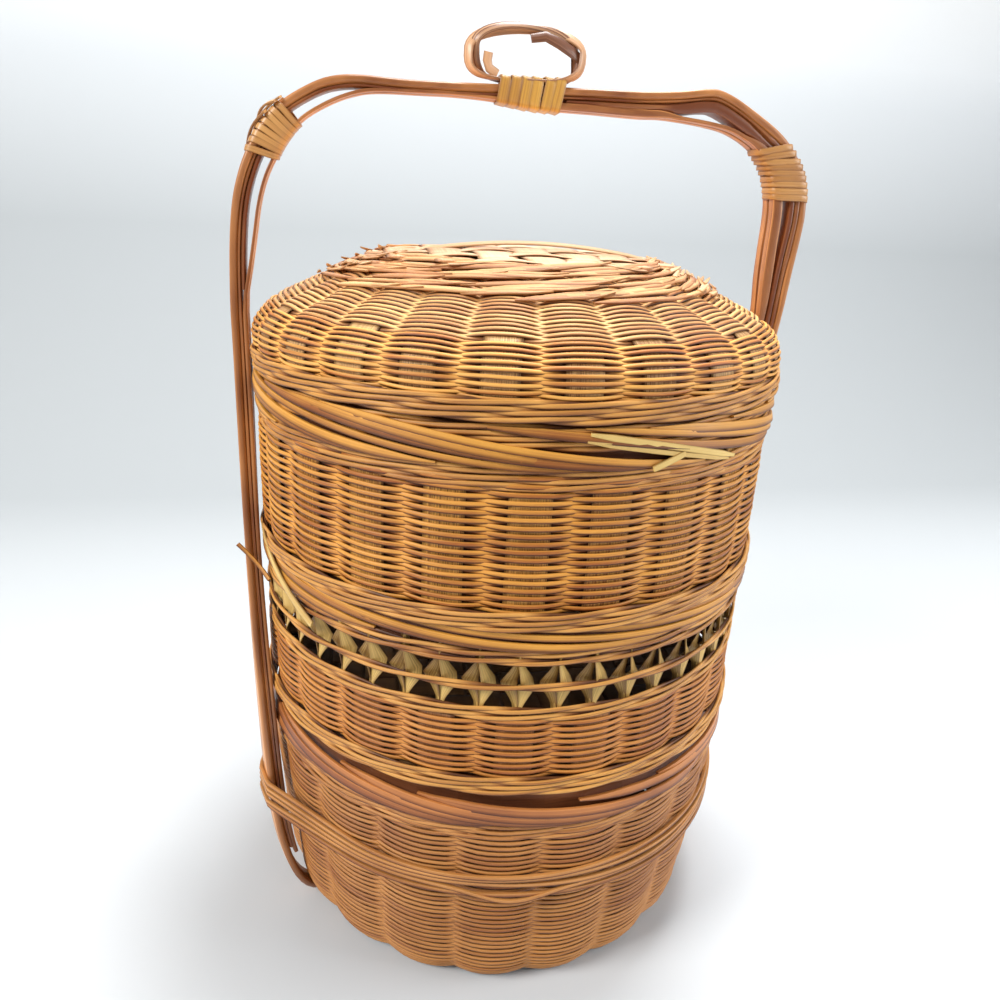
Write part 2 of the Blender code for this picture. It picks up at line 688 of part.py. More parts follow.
def waist_stations(height):
    """(angle, radius) bends of the band's inner face.

    It goes round the wall, and is pulled straight from the wall over each leg.
    """
    half = STRIP_WIDTH / 2.0 + WAIST_CORNER_ROOM
    corner = math.hypot(LEG_RADIUS, half) + GAP
    corner_angle = math.asin(half / corner)
    wall = STAKE_RADIUS + BULGE_DEPTH + GAP
    meets = corner_angle + math.acos(wall / corner)
    step = (math.pi - 2.0 * meets) / BAND_SEGMENTS
    wall = wall / math.cos(step / 2.0)
    stations = []
    for leg in (lean_at(height), lean_at(height) + math.pi):
        stations += [(leg - corner_angle, corner), (leg + corner_angle, corner)]
        stations += [(leg + meets + step * index, wall) for index in range(BAND_SEGMENTS + 1)]
    return stations


def build_waist_cord(name, foot, materials):
    """One cord of the twined waist band, wider against the wall than at its outer face."""
    middle = foot + WAIST_CORD_HEIGHT / 2.0
    wide = WAIST_CORD_HEIGHT / 2.0
    shape = ((0.0, -wide), (WAIST_CORD_THICKNESS, -wide / 2.0),
             (WAIST_CORD_THICKNESS, wide / 2.0), (0.0, wide))
    sections = []
    for angle, radius in waist_stations(middle):
        direction = Vector((math.cos(angle), math.sin(angle), 0.0))
        sections.append([direction * (radius + out) + Vector((0.0, 0.0, middle + up))
                         for out, up in shape])
    bm = bmesh.new()
    add_sweep(bm, sections, closed=True)
    return finish(name, bm, materials["weave"])


# Bindings and ring

def arch_faces(side):
    """Matching points on the outer and inner faces of the bound strips, leg to crown."""
    outer = [place(p.x, p.y, side) for p in arch_profile(0.0, 0.0, OUTER_ARCH_POWER)]
    inner = [place(p.x, p.y, side)
             for p in arch_profile(BUNDLE_DEPTH, INNER_ARCH_DROP, INNER_ARCH_POWER)]
    return divide(outer, ARCH_STEPS), divide(inner, ARCH_STEPS)


def at_share(points, share):
    """Point at a share of the way along a list of points."""
    place_in_list = share * (len(points) - 1)
    index = min(int(place_in_list), len(points) - 2)
    return points[index].lerp(points[index + 1], place_in_list - index)


def corner_points(half_thick, half_wide):
    """Bends of a turn round four corners, each as three (out, across, angle) stations."""
    stations = []
    for quarter in range(4):
        for step in (0, 1, 2):
            angle = math.pi / 2.0 * (quarter + step / 2.0)
            sign_out = 1.0 if quarter in (0, 3) else -1.0
            sign_across = 1.0 if quarter in (0, 1) else -1.0
            out = sign_out * (half_thick - CANE_CORNER) + CANE_CORNER * math.cos(angle)
            across = sign_across * (half_wide - CANE_CORNER) + CANE_CORNER * math.sin(angle)
            stations.append((out, across, angle))
    return stations


def winding(name, outer, inner, turns, extra, materials):
    """Flat cane wound round the strips in one unbroken helix.

    outer and inner give the strips' faces for a share of the wound stretch; extra is the room
    for what is bound on top of them.
    """
    pitch = 1.0 / (turns + CANE_WIDTH_SHARE)
    half_cane = pitch * CANE_WIDTH_SHARE / 2.0
    sections = []
    fit = CANE_FIT + CANE_THICKNESS / 2.0
    per_turn = len(corner_points(STRIP_WIDTH, STRIP_WIDTH))
    for station in range(turns * per_turn + 1):
        start = half_cane + pitch * station / per_turn
        section = []
        for shift in (-half_cane, half_cane):
            top, bottom = outer(start + shift), inner(start + shift)
            middle = (top + bottom) / 2.0
            outward = (top - bottom).normalized()
            middle += outward * (extra / 2.0)
            half_thick = ((top - bottom).length + extra) / 2.0 + fit
            out, across, angle = corner_points(half_thick, STRIP_WIDTH / 2.0 + fit)[station % per_turn]
            centre = middle + outward * out + Vector((0.0, across, 0.0))
            normal = outward * math.cos(angle) + Vector((0.0, math.sin(angle), 0.0))
            pair = [centre - normal * (CANE_THICKNESS / 2.0), centre + normal * (CANE_THICKNESS / 2.0)]
            section.extend(pair if shift < 0.0 else pair[::-1])
        sections.append(section)
    report_gap(name, sections, per_turn)
    bm = bmesh.new()
    add_sweep(bm, sections, closed=False)
    return finish(name, bm, materials["cane"])


def report_gap(name, sections, per_turn):
    """Measure and print the least distance between one turn's edge and the next."""
    least = min((first[edge] - second[other]).length
                for first, second in zip(sections, sections[per_turn:])
                for edge, other in ((2, 1), (3, 0)))
    state = "clear" if least > SMALLEST_SELF_GAP else "too close"
    print(f"{name}: least gap between turns {least * 1000.0:.2f} mm, {state}")


def build_shoulder_binding(name, side, shares, materials):
    outer_face, inner_face = arch_faces(side)
    start, end = shares

    def outer(share):
        return at_share(outer_face, start + (end - start) * share)

    def inner(share):
        return at_share(inner_face, start + (end - start) * share)
    return winding(name, outer, inner, SHOULDER_TURNS, 0.0, materials)


def build_centre_binding(materials):
    """Binding at the middle of the handle, which also holds down the foot of the ring."""
    top = HANDLE_TOP
    bottom = HANDLE_TOP - BUNDLE_DEPTH - INNER_ARCH_DROP
    middle = TOP_OFFSET - CENTRE_BINDING_OFFSET

    def face(height):
        def at(share):
            return Vector((middle + CENTRE_BINDING_LENGTH * (share - 0.5), 0.0, height))
        return at
    room = 2.0 * GAP + RING_CANE_THICKNESS + RING_CANE_THICKNESS / 2.0
    return winding("centre_binding", face(top), face(bottom), CENTRE_TURNS, room, materials)


def build_ring(materials):
    """Ring of flat cane in one unbroken helix, its foot under the centre binding."""
    foot = HANDLE_TOP + GAP + RING_CANE_THICKNESS / 2.0
    half_height = (RING_HEIGHT - RING_CANE_THICKNESS) / 2.0
    middle_x = TOP_OFFSET - CENTRE_BINDING_OFFSET
    line = []
    for step in range(RING_TURNS * RING_STEPS + 1):
        turn = 2.0 * math.pi * (step / RING_STEPS) + math.pi
        cosine, sine = math.cos(turn), math.sin(turn)
        power = RING_UPPER_POWER if sine > 0.0 else RING_LOWER_POWER
        x = RING_HALF_WIDTH * math.copysign(abs(cosine) ** (2.0 / power), cosine)
        z = half_height * math.copysign(abs(sine) ** (2.0 / power), sine)
        y = RING_PITCH * (step / RING_STEPS - RING_TURNS / 2.0)
        line.append(Vector((middle_x + x, y, foot + half_height + z)))
    sections = []
    for index, point in enumerate(line):
        before = line[max(index - 1, 0)]
        after = line[min(index + 1, len(line) - 1)]
        tangent = (after - before).normalized()
        across = (Vector((0.0, 1.0, 0.0)) - tangent * tangent.y).normalized()
        outward = across.cross(tangent)
        half = across * (RING_CANE_WIDTH / 2.0)
        thick = outward * (RING_CANE_THICKNESS / 2.0)
        sections.append([point - half + thick, point + half + thick,
                         point + half - thick, point - half - thick])
    least = min(abs(second.y - first.y) - RING_CANE_WIDTH
                for first, second in zip(line, line[RING_STEPS:]))
    print(f"hanging_ring: least gap between turns {least * 1000.0:.2f} mm")
    bm = bmesh.new()
    add_sweep(bm, sections, closed=False)
    return finish("hanging_ring", bm, materials["cane"])


# The whole basket

def build_frame(materials):
    build_outer_strip(materials)
    build_thin_strip("frame_middle_strip", MIDDLE_STRIP_DEPTH, MIDDLE_ARCH_DROP,
                     MIDDLE_ARCH_POWER, materials)
    build_thin_strip("frame_inner_strip", INNER_STRIP_DEPTH, INNER_ARCH_DROP,
                     INNER_ARCH_POWER, materials)
    build_shoulder_binding("left_shoulder_binding", -1, LEFT_BINDING_SHARES, materials)
    build_shoulder_binding("right_shoulder_binding", 1, RIGHT_BINDING_SHARES, materials)
    build_centre_binding(materials)
    build_ring(materials)


def build_bottom_tray(materials):
    build_bottom_wall(materials)
    build_base_floor(materials)
    build_rim("bottom_rim", BOTTOM_WALL_HEIGHT, RIM_HEIGHT, materials)
    build_collar("bottom_collar", BOTTOM_WALL_HEIGHT, materials)
    waist = BOTTOM_WALL_HEIGHT * WAIST_HEIGHT_SHARE
    build_waist_cord("waist_cord_upper", waist + WAIST_CORD_SPACING / 2.0, materials)
    build_waist_cord("waist_cord_lower", waist - WAIST_CORD_SPACING / 2.0 - WAIST_CORD_HEIGHT,
                     materials)


def build_middle_tray(materials):
    build_middle_wall(materials)
    build_floor("middle_floor", BOTTOM_WALL_HEIGHT + COLLAR_STAND + GAP, materials)
    twined_band("middle_skirt", SKIRT_BORE, MIDDLE_BASE, SKIRT_HEIGHT, SKIRT_THICKNESS,
                materials["weave"])
    build_openwork(materials)
    face = flats(BARE_RADIUS, OPENWORK_COLUMNS) + GAP
    bore = flats(face, HOOP_SEGMENTS)
    sill_top = MIDDLE_RIM - OPENWORK_HEIGHT + OPENWORK_SILL
    opening_top = sill_top + OPENING_HEIGHT
    twined_band("openwork_lower_twine", bore, sill_top - LOWER_TWINE_HEIGHT, LOWER_TWINE_HEIGHT,
                TWINE_THICKNESS, materials["weave"])
    twined_band("openwork_middle_twine", bore,
                sill_top + (OPENING_HEIGHT - MIDDLE_TWINE_HEIGHT) / 2.0, MIDDLE_TWINE_HEIGHT,
                TWINE_THICKNESS, materials["weave"])
    twined_band("openwork_upper_twine", bore, opening_top, UPPER_TWINE_HEIGHT,
                TWINE_THICKNESS, materials["weave"])
    build_rim("middle_rim", MIDDLE_RIM, MIDDLE_RIM_HEIGHT, materials)
    build_collar("middle_collar", MIDDLE_RIM, materials)


def build_top_tray(materials):
    build_top_wall(materials)
    build_floor("top_floor", MIDDLE_RIM + COLLAR_STAND + GAP, materials)
    twined_band("top_skirt", SKIRT_BORE, TOP_BASE, SKIRT_HEIGHT, SKIRT_THICKNESS,
                materials["weave"])
    build_rim("top_rim", TOP_RIM, RIM_HEIGHT, materials)
    build_collar("top_collar", TOP_RIM, materials)


def build_lid(materials):
    build_lid_wall(materials)
    build_lid_dome(materials)
    twined_band("lid_skirt", SKIRT_BORE, LID_BASE, SKIRT_HEIGHT, SKIRT_THICKNESS,
                materials["weave"])
    build_lid_ledge(materials)
    build_crown_layer("crown_lower_splint", CROWN_BASE, False, materials)
    build_crown_layer("crown_upper_splint", CROWN_BASE + CROWN_SPLINT_THICKNESS + GAP,
                      True, materials)


def main():
    for old in list(bpy.data.objects):
        bpy.data.objects.remove(old, do_unlink=True)
    materials = make_materials()
    build_bottom_tray(materials)
    build_middle_tray(materials)
    build_top_tray(materials)
    build_lid(materials)
    build_frame(materials)


main()
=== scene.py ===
"""Looks of the tiered bamboo food basket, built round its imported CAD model. Metres, +Z up."""

import math
import random

import bpy
from mathutils import Matrix, Vector


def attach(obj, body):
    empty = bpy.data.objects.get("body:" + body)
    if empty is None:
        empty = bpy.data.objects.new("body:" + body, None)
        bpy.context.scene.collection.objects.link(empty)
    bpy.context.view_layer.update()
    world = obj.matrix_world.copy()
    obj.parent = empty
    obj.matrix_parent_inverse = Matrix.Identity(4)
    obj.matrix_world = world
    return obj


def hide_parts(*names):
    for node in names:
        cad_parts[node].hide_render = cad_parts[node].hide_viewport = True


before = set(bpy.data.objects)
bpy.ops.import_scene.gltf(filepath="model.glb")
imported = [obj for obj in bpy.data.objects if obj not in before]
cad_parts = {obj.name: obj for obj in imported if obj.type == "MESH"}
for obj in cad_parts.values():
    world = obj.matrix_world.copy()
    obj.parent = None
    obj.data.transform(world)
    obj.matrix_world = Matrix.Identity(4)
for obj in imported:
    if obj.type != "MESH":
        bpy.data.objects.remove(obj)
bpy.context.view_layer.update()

MM = 0.001
TAU = 2.0 * math.pi

# Weave of the walls
COLUMN_STEPS = 8                 # points of a weaver in one column
STAKE_SWELL = 0.95 * MM          # how far the stakes stand out in the middle of a column
WEAVE_DEPTH = 0.92 * MM          # how far a weaver goes in and out of the stakes
WEAVER_PITCH = 1.52 * MM
WEAVER_WIDTH = 2.0 * MM
WEAVER_THICKNESS = 1.05 * MM
WEAVE_UNEVENNESS = 0.17 * MM
STAKE_THICKNESS = 0.8 * MM

# Twined rows and plaited splints
TWINE_STEPS = 264                # points of a strand on its way round
TWINE_THICKNESS = 1.35 * MM
TWINE_UNEVENNESS = 0.2 * MM
SKIRT_RADIUS = 118.6             # in millimetres, as a profile's points are
SKIRT_HEIGHT = 8.0
PLAIT_THICKNESS = 1.0 * MM
FLOOR_SPLINTS = 13
FLOOR_GAP = 1.0                  # between two splints of a floor, in millimetres

# Carrying frame
LEG_RADIUS = 127.06 * MM
LEG_LEAN = math.radians(22.5)
FOOT_REACH = 30.9 * MM
FOOT_HEIGHT = 100.0 * MM
FOOT_POWER = 3.0
SPRING_HEIGHT = 300.1 * MM
TOP_OFFSET = 6.0 * MM            # how far the right leg has moved out at its top
RIGHT_OFFSET_HEIGHTS = (220.4, 331.1)    # in millimetres, between which it does so
STRIP_WIDTH = 11.0 * MM
BUNDLE_DEPTH = 6.6 * MM
OUTER_THICKNESS = 3.3 * MM
LEG_SWELL = 0.6 * MM             # how much the legs stand out over the size of the foot
# Handle in its own plane, (x, height) in millimetres from right to left: the outer face of the outer
# strip, and the inner face of the inner strip
OUTER_ARCH = ((132.5, 300.1), (133.4, 316.0), (134.6, 332.0), (134.9, 343.0), (133.4, 354.0),
              (128.4, 364.0), (117.2, 375.6), (98.6, 386.2), (87.0, 391.2), (79.0, 391.9), (66.0, 390.3),
              (50.0, 389.1), (30.0, 388.7), (10.0, 388.3), (-10.0, 387.9), (-30.0, 387.4), (-48.0, 387.1),
              (-60.0, 387.3), (-69.0, 387.6), (-77.0, 387.2), (-85.3, 385.4), (-94.0, 381.4),
              (-103.0, 375.6), (-110.6, 367.8), (-116.8, 358.0), (-121.2, 347.6), (-124.2, 336.0),
              (-126.2, 320.0), (-127.4, 300.1))
INNER_ARCH = ((119.9, 300.1), (118.9, 312.0), (118.5, 326.0), (117.9, 346.0), (113.8, 359.5), (106.0, 368.9),
              (95.0, 374.8), (83.2, 377.4), (64.0, 379.2), (50.4, 378.9), (30.0, 379.4), (14.0, 379.6),
              (0.0, 380.2), (-14.0, 381.8), (-30.0, 382.5), (-46.0, 382.3), (-62.0, 382.0), (-71.6, 380.6),
              (-82.3, 376.7), (-93.1, 370.4), (-100.3, 363.0), (-105.6, 354.6), (-109.6, 346.6),
              (-112.6, 337.0), (-114.9, 325.0), (-117.4, 312.0), (-119.9, 300.1))
WRAP_THICKNESS = 0.85 * MM       # flat cane of the bindings
HANDLE_TOP = 388.3 * MM
CENTRE_X = 0.5                   # middle of the centre binding, in millimetres
CENTRE_HALF = 14.0               # half its length
RING_X = -1.9 * MM


# Node helpers, for shader trees and geometry trees alike

def plug(tree, node, inputs):
    """Gives each of a node's inputs its value or its link."""
    for key, value in dict(inputs).items():
        if isinstance(value, bpy.types.NodeSocket):
            tree.links.new(value, node.inputs[key])
        else:
            node.inputs[key].default_value = value
    return node


def put(tree, kind, inputs=(), **settings):
    """A new node with its settings and its inputs."""
    node = tree.nodes.new(kind)
    for key, value in settings.items():
        setattr(node, key, value)
    return plug(tree, node, inputs)


def calc(tree, operation, first, second=0.0, third=0.0):
    return put(tree, "ShaderNodeMath", {0: first, 1: second, 2: third}, operation=operation).outputs[0]


def times(tree, first, *others):
    for other in others:
        first = calc(tree, "MULTIPLY", first, other)
    return first


def plus(tree, first, *others):
    for other in others:
        first = calc(tree, "ADD", first, other)
    return first


def vector(tree, operation, first, second):
    return put(tree, "ShaderNodeVectorMath", {0: first, 1: second}, operation=operation).outputs[0]


def xyz(tree, x=0.0, y=0.0, z=0.0):
    return put(tree, "ShaderNodeCombineXYZ", {0: x, 1: y, 2: z}).outputs[0]


def stretch(tree, value, low, high, to_low=0.0, to_high=1.0):
    return put(tree, "ShaderNodeMapRange", {0: value, 1: low, 2: high, 3: to_low, 4: to_high}).outputs[0]


def noise(tree, where, scale=1.0, detail=2.0, roughness=0.55):
    return put(tree, "ShaderNodeTexNoise", {"Vector": where, "Scale": scale, "Detail": detail,
                                            "Roughness": roughness}).outputs[0]


def open_group(name, kind, inputs, outputs):
    """A node group with named sockets, the sockets that come in, and the node that they go out by."""
    group = bpy.data.node_groups.new(name, kind)
    for label, socket_kind, value in inputs:
        socket = group.interface.new_socket(label, in_out="INPUT", socket_type="NodeSocket" + socket_kind)
        if value is not None:
            socket.default_value = value
    for label, socket_kind in outputs:
        group.interface.new_socket(label, in_out="OUTPUT", socket_type="NodeSocket" + socket_kind)
    return group, group.nodes.new("NodeGroupInput").outputs, group.nodes.new("NodeGroupOutput")


# Materials

def mix_colour(tree, share, first, second, mode="MIX"):
    return put(tree, "ShaderNodeMix", {0: share, 6: first, 7: second}, data_type="RGBA",
               blend_type=mode).outputs[2]


def mark(tree, name):
    return put(tree, "ShaderNodeAttribute", attribute_name=name).outputs["Fac"]


def make_strand_group():
    """Colour, roughness and height of one split strand, from the marks on its mesh, with painted light and
    shade on it.
    """
    group, given, out = open_group("Bamboo strand", "ShaderNodeTree", (
        ("Dark", "Color", (0.4, 0.2, 0.08, 1.0)), ("Light", "Color", (0.7, 0.5, 0.25, 1.0)),
        ("Spread", "Float", 0.8), ("Fibre", "Float", 0.35), ("Shade", "Float", 0.4),
        ("Fibre count", "Float", 4.0), ("Gloss", "Float", 0.42), ("Hoop", "Float", 0.0),
        ("Worn", "Float", 0.0)),
        (("Color", "Color"), ("Roughness", "Float"), ("Height", "Float")))
    strand, across, cover = mark(group, "strand"), mark(group, "across"), mark(group, "cover")
    place = put(group, "ShaderNodeTexCoord").outputs["Object"]
    upright = put(group, "ShaderNodeSeparateXYZ", {0: place}).outputs[2]
    slow = vector(group, "MULTIPLY", place, (34.0, 34.0, 9.0))
    shift = xyz(group, times(group, across, given["Fibre count"]),
                times(group, upright, given["Hoop"], 1400.0), times(group, strand, 71.0))
    fibres = noise(group, vector(group, "ADD", slow, shift), detail=3.0, roughness=0.6)
    patches = noise(group, place, scale=26.0)
    own = times(group, calc(group, "SUBTRACT", strand, 0.5), given["Spread"])
    grain = times(group, calc(group, "SUBTRACT", fibres, 0.5), given["Fibre"], 2.0)
    # Painted highlight where the rows cross between columns, where the turning weavers catch the light.
    crossing_highlight = stretch(group, calc(group, "ABSOLUTE", cover), 0.6, 0.1)
    # Painted highlight: the upper edge of each strand is made paler, as if lit from above.
    worn = times(group, stretch(group, across, -0.35, -0.8), given["Worn"])
    tone = plus(group, own, grain, calc(group, "MULTIPLY_ADD", patches, 1.3, -0.15),
                times(group, crossing_highlight, 0.28), worn)
    colour = mix_colour(group, stretch(group, tone, 0.0, 1.0), given["Dark"], given["Light"])
    # Painted shade: the lower edge of each strand is darkened, as if lit from above; the same input sets the
    # painted highlight on the upper edge.
    lower = times(group, given["Worn"], 2.2, stretch(group, across, 0.0, 0.85))
    # Painted shade at both edges of each strand, in the gaps between rows, kept off the highlighted upper
    # edge.
    edge = stretch(group, calc(group, "ABSOLUTE", across), 0.6, 1.0, 0.0, 0.4)
    edge = calc(group, "MAXIMUM", calc(group, "SUBTRACT", edge, times(group, worn, 2.0)), lower)
    # Painted shade where a weaver passes behind the stakes, deep in the weave; the Shade input sets how much.
    recess_shade = times(group, stretch(group, cover, -0.1, -0.85), given["Shade"])
    # All the painted shade darkens the colour, blue most and red least.
    dim = calc(group, "SUBTRACT", 1.0, calc(group, "MAXIMUM", recess_shade, edge))
    painted_shade = put(group, "ShaderNodeCombineColor", {0: dim, 1: calc(group, "POWER", dim, 1.25),
                                                   2: calc(group, "POWER", dim, 1.5)}).outputs[0]
    plug(group, out, {"Color": mix_colour(group, 1.0, colour, painted_shade, "MULTIPLY"),
                      "Roughness": calc(group, "MULTIPLY_ADD", fibres, 0.24, given["Gloss"]),
                      "Height": fibres})
    return group


STRAND_GROUP = make_strand_group()


def open_material(name):
    """A new material, its node tree and its shader."""
    material = bpy.data.materials.new(name)
    material.use_nodes = True
    return material, material.node_tree, material.node_tree.nodes["Principled BSDF"]


def bamboo(name, dark, light, spread=0.6, fibre=0.9, shade=0.72, count=5.0, gloss=0.42, coat=0.06,
           bump=0.35, hoop=0.0, worn=0.0):
    """Split bamboo or cane with its own two tones."""
    material, tree, shader = open_material(name)
    skin = put(tree, "ShaderNodeGroup", {
        "Dark": (*dark, 1.0), "Light": (*light, 1.0), "Spread": spread, "Fibre": fibre, "Shade": shade,
        "Fibre count": count, "Gloss": gloss, "Hoop": hoop, "Worn": worn}, node_tree=STRAND_GROUP).outputs
    relief = put(tree, "ShaderNodeBump", {"Height": skin["Height"], "Strength": bump, "Distance": 0.3 * MM})
    plug(tree, shader, {"Base Color": skin["Color"], "Roughness": skin["Roughness"],
                        "Normal": relief.outputs[0], "Coat Weight": coat, "Coat Roughness": 0.25})
    return material


# The looks below set painted light per material: a painted highlight on the strands' upper edges with painted
# shade on their lower edges, and painted shade where weavers pass behind the stakes.
RIM_LOOK = {"fibre": 0.7, "shade": 0.0, "count": 7.0, "coat": 0.2, "worn": 0.37}
WRAP_LOOK = {"spread": 0.4, "shade": 0.0, "count": 6.0, "gloss": 0.30, "coat": 0.25}

TOP_CANE = bamboo("top_cane", (0.36, 0.092, 0.008), (0.82, 0.365, 0.056), spread=0.85, shade=0.85,
                  worn=0.46)
MIDDLE_CANE = bamboo("middle_cane", (0.335, 0.089, 0.012), (0.70, 0.280, 0.051), spread=0.8, shade=0.85,
                     worn=0.46)
BASE_CANE = bamboo("base_cane", (0.285, 0.082, 0.017), (0.58, 0.246, 0.061), spread=0.75, shade=0.8,
                   worn=0.42)
LID_CANE = bamboo("lid_cane", (0.47, 0.133, 0.019), (0.98, 0.50, 0.113), spread=0.8, shade=0.8, worn=0.42)
DOME_CANE = bamboo("dome_cane", (0.52, 0.19, 0.045), (0.95, 0.57, 0.21), worn=0.37)
TOP_STAKE = bamboo("top_stake", (0.24, 0.075, 0.010), (0.95, 0.53, 0.12), fibre=1.8, shade=0.0,
                   count=26.0, bump=0.8)
LID_STAKE = bamboo("lid_stake", (0.28, 0.11, 0.025), (0.84, 0.53, 0.22), fibre=1.6, shade=0.0,
                   count=24.0, bump=0.8)
BASE_STAKE = bamboo("base_stake", (0.14, 0.045, 0.012), (0.42, 0.18, 0.05), shade=0.0, count=16.0)
TWINE_CANE = bamboo("twine_cane", (0.326, 0.099, 0.014), (0.768, 0.370, 0.082), shade=0.8, worn=0.4)
WAIST_CANE = bamboo("waist_cane", (0.307, 0.095, 0.019), (0.672, 0.301, 0.082), shade=0.7, worn=0.4)
RIM_SPLINT = bamboo("rim_splint", (0.326, 0.095, 0.012), (0.787, 0.361, 0.051), spread=0.9, **RIM_LOOK)
BASE_RIM_SPLINT = bamboo("base_rim_splint", (0.259, 0.069, 0.016), (0.634, 0.232, 0.054), spread=0.8,
                         **RIM_LOOK)
COLLAR_SPLINT = bamboo("collar_splint", (0.125, 0.033, 0.010), (0.346, 0.112, 0.031), spread=0.8,
                       fibre=0.5, shade=0.0, hoop=1.0)
OPEN_SPLINT = bamboo("open_splint", (0.20, 0.095, 0.016), (0.72, 0.47, 0.14), spread=0.8, shade=0.0,
                     count=9.0)
CROWN_SPLINT = bamboo("crown_splint", (0.70, 0.335, 0.140), (0.94, 0.615, 0.355), shade=0.3, count=20.0)
END_CANE = bamboo("end_cane", (0.46, 0.15, 0.042), (0.90, 0.52, 0.21), fibre=1.5, shade=0.0, count=7.0,
                  bump=0.6, worn=0.2)
FRAYED_CANE = bamboo("frayed_cane", (0.60, 0.30, 0.12), (0.92, 0.66, 0.36), fibre=0.8, shade=0.0,
                     count=6.0)
FRAME_STRIP = bamboo("frame_strip", (0.29, 0.082, 0.021), (0.93, 0.42, 0.128), spread=0.35, fibre=1.2,
                     shade=0.0, count=6.0, gloss=0.3, coat=0.3)
BINDING_CANE = bamboo("binding_wrap", (0.34, 0.13, 0.025), (0.70, 0.36, 0.11), fibre=0.7, **WRAP_LOOK)
GOLDEN_CANE = bamboo("golden_wrap", (0.38, 0.15, 0.03), (0.78, 0.44, 0.075), fibre=0.8, **WRAP_LOOK)
RING_CANE = bamboo("ring_cane", (0.18, 0.062, 0.026), (0.78, 0.44, 0.23), spread=0.9, fibre=1.4,
                   shade=0.0, gloss=0.30, coat=0.3)
CUT_CANE = bamboo("cut_cane", (0.50, 0.27, 0.06), (0.88, 0.62, 0.20), fibre=0.6, shade=0.0, count=8.0)
FLOOR_SPLINT = bamboo("floor_splint", (0.09, 0.038, 0.012), (0.22, 0.11, 0.04), spread=0.8, fibre=0.5,
                      count=14.0)


# Geometry Nodes

STRAND_INPUTS = (("Width", "Float", 0.002), ("Thickness", "Float", 0.001), ("Unevenness", "Float", 0.0002),
                 ("Seed", "Int", 1), ("Material", "Material", None))


def open_tree(name, inputs):
    return open_group(name, "GeometryNodeTree", (("Geometry", "Geometry", None),) + inputs,
                      (("Geometry", "Geometry"),))


def make_wall_point():
    """Group that gives a place on a turned wall, and the direction out of it."""
    floats = [(label, "Float", 0.0) for label in ("Share", "Angle", "Out", "Up")]
    group, given, out = open_group("Wall point", "GeometryNodeTree", [("Profile", "Geometry", None)] + floats,
                                   (("Position", "Vector"), ("Outward", "Vector")))
    sample = put(group, "GeometryNodeSampleCurve", {"Curves": given["Profile"], "Factor": given["Share"]},
                 mode="FACTOR")
    tangent = sample.outputs["Tangent"]
    along = put(group, "ShaderNodeSeparateXYZ", {0: tangent}).outputs
    normal = xyz(group, along[2], 0.0, times(group, along[0], -1.0))
    place = sample.outputs["Position"]
    shifts = [vector(group, "MULTIPLY", way, xyz(group, given[size], given[size], given[size]))
              for way, size in ((normal, "Out"), (tangent, "Up"))]
    place = vector(group, "ADD", place, vector(group, "ADD", *shifts))
    for source, target in ((place, "Position"), (normal, "Outward")):
        turned = put(group, "ShaderNodeVectorRotate", {"Vector": source, "Angle": given["Angle"]},
                     rotation_type="Z_AXIS")
        plug(group, out, {target: turned.outputs[0]})
    return group


WALL_POINT = make_wall_point()


def named(tree, geometry, name, value, domain="POINT"):
    return put(tree, "GeometryNodeStoreNamedAttribute", {"Geometry": geometry, "Name": name, "Value": value},
               data_type="FLOAT", domain=domain).outputs[0]


def captured(tree, geometry, value, kind="FLOAT"):
    """Keeps a field on the points of a geometry."""
    node = put(tree, "GeometryNodeCaptureAttribute", {"Geometry": geometry})
    node.capture_items.new(kind, "Value")
    tree.links.new(value, node.inputs[1])
    return node.outputs[0], node.outputs[1]


def here(tree):
    return put(tree, "ShaderNodeSeparateXYZ", {0: put(tree, "GeometryNodeInputPosition").outputs[0]}).outputs


def copies(tree, curve, amount):
    """Copies of a curve, and each copy's number."""
    many = put(tree, "GeometryNodeDuplicateElements", {"Geometry": curve, "Amount": amount}, domain="SPLINE")
    return many.outputs[0], many.outputs[1]


def unit_circle(tree, points):
    return put(tree, "GeometryNodeCurvePrimitiveCircle", {"Resolution": points, "Radius": 1.0}).outputs[0]


def round_circle(tree, points, amount):
    """Copies of a circle, with each point's angle and each copy's number."""
    spot = here(tree)
    circle, angle = captured(tree, unit_circle(tree, points), calc(tree, "ARCTAN2", spot[1], spot[0]))
    many, number = copies(tree, circle, amount)
    return many, angle, number


def on_circle(tree, angle, radius, height):
    return xyz(tree, times(tree, calc(tree, "COSINE", angle), radius),
               times(tree, calc(tree, "SINE", angle), radius), height)


def chance(tree, low, high, number, seed):
    return put(tree, "FunctionNodeRandomValue", {2: low, 3: high, "ID": number, "Seed": seed},
               data_type="FLOAT").outputs[1]


def toned(tree, geometry, number, given, domain="POINT"):
    """Gives each strand a tone of its own."""
    return named(tree, geometry, "strand", chance(tree, 0.0, 1.0, number, given["Seed"]), domain)


def wander(tree, given, angle, number, scale):
    """Smooth random shift round a ring, up to about the given unevenness to both sides."""
    where = on_circle(tree, angle, scale, calc(tree, "MULTIPLY_ADD", number, 3.7, given["Seed"]))
    value = calc(tree, "MULTIPLY_ADD", noise(tree, where, detail=1.0), 4.0, -2.0)
    return times(tree, value, given["Unevenness"])


def row_share(tree, row, rows):
    """Place of the middle of a row on the way up the wall."""
    return calc(tree, "DIVIDE", plus(tree, row, 0.5), rows)


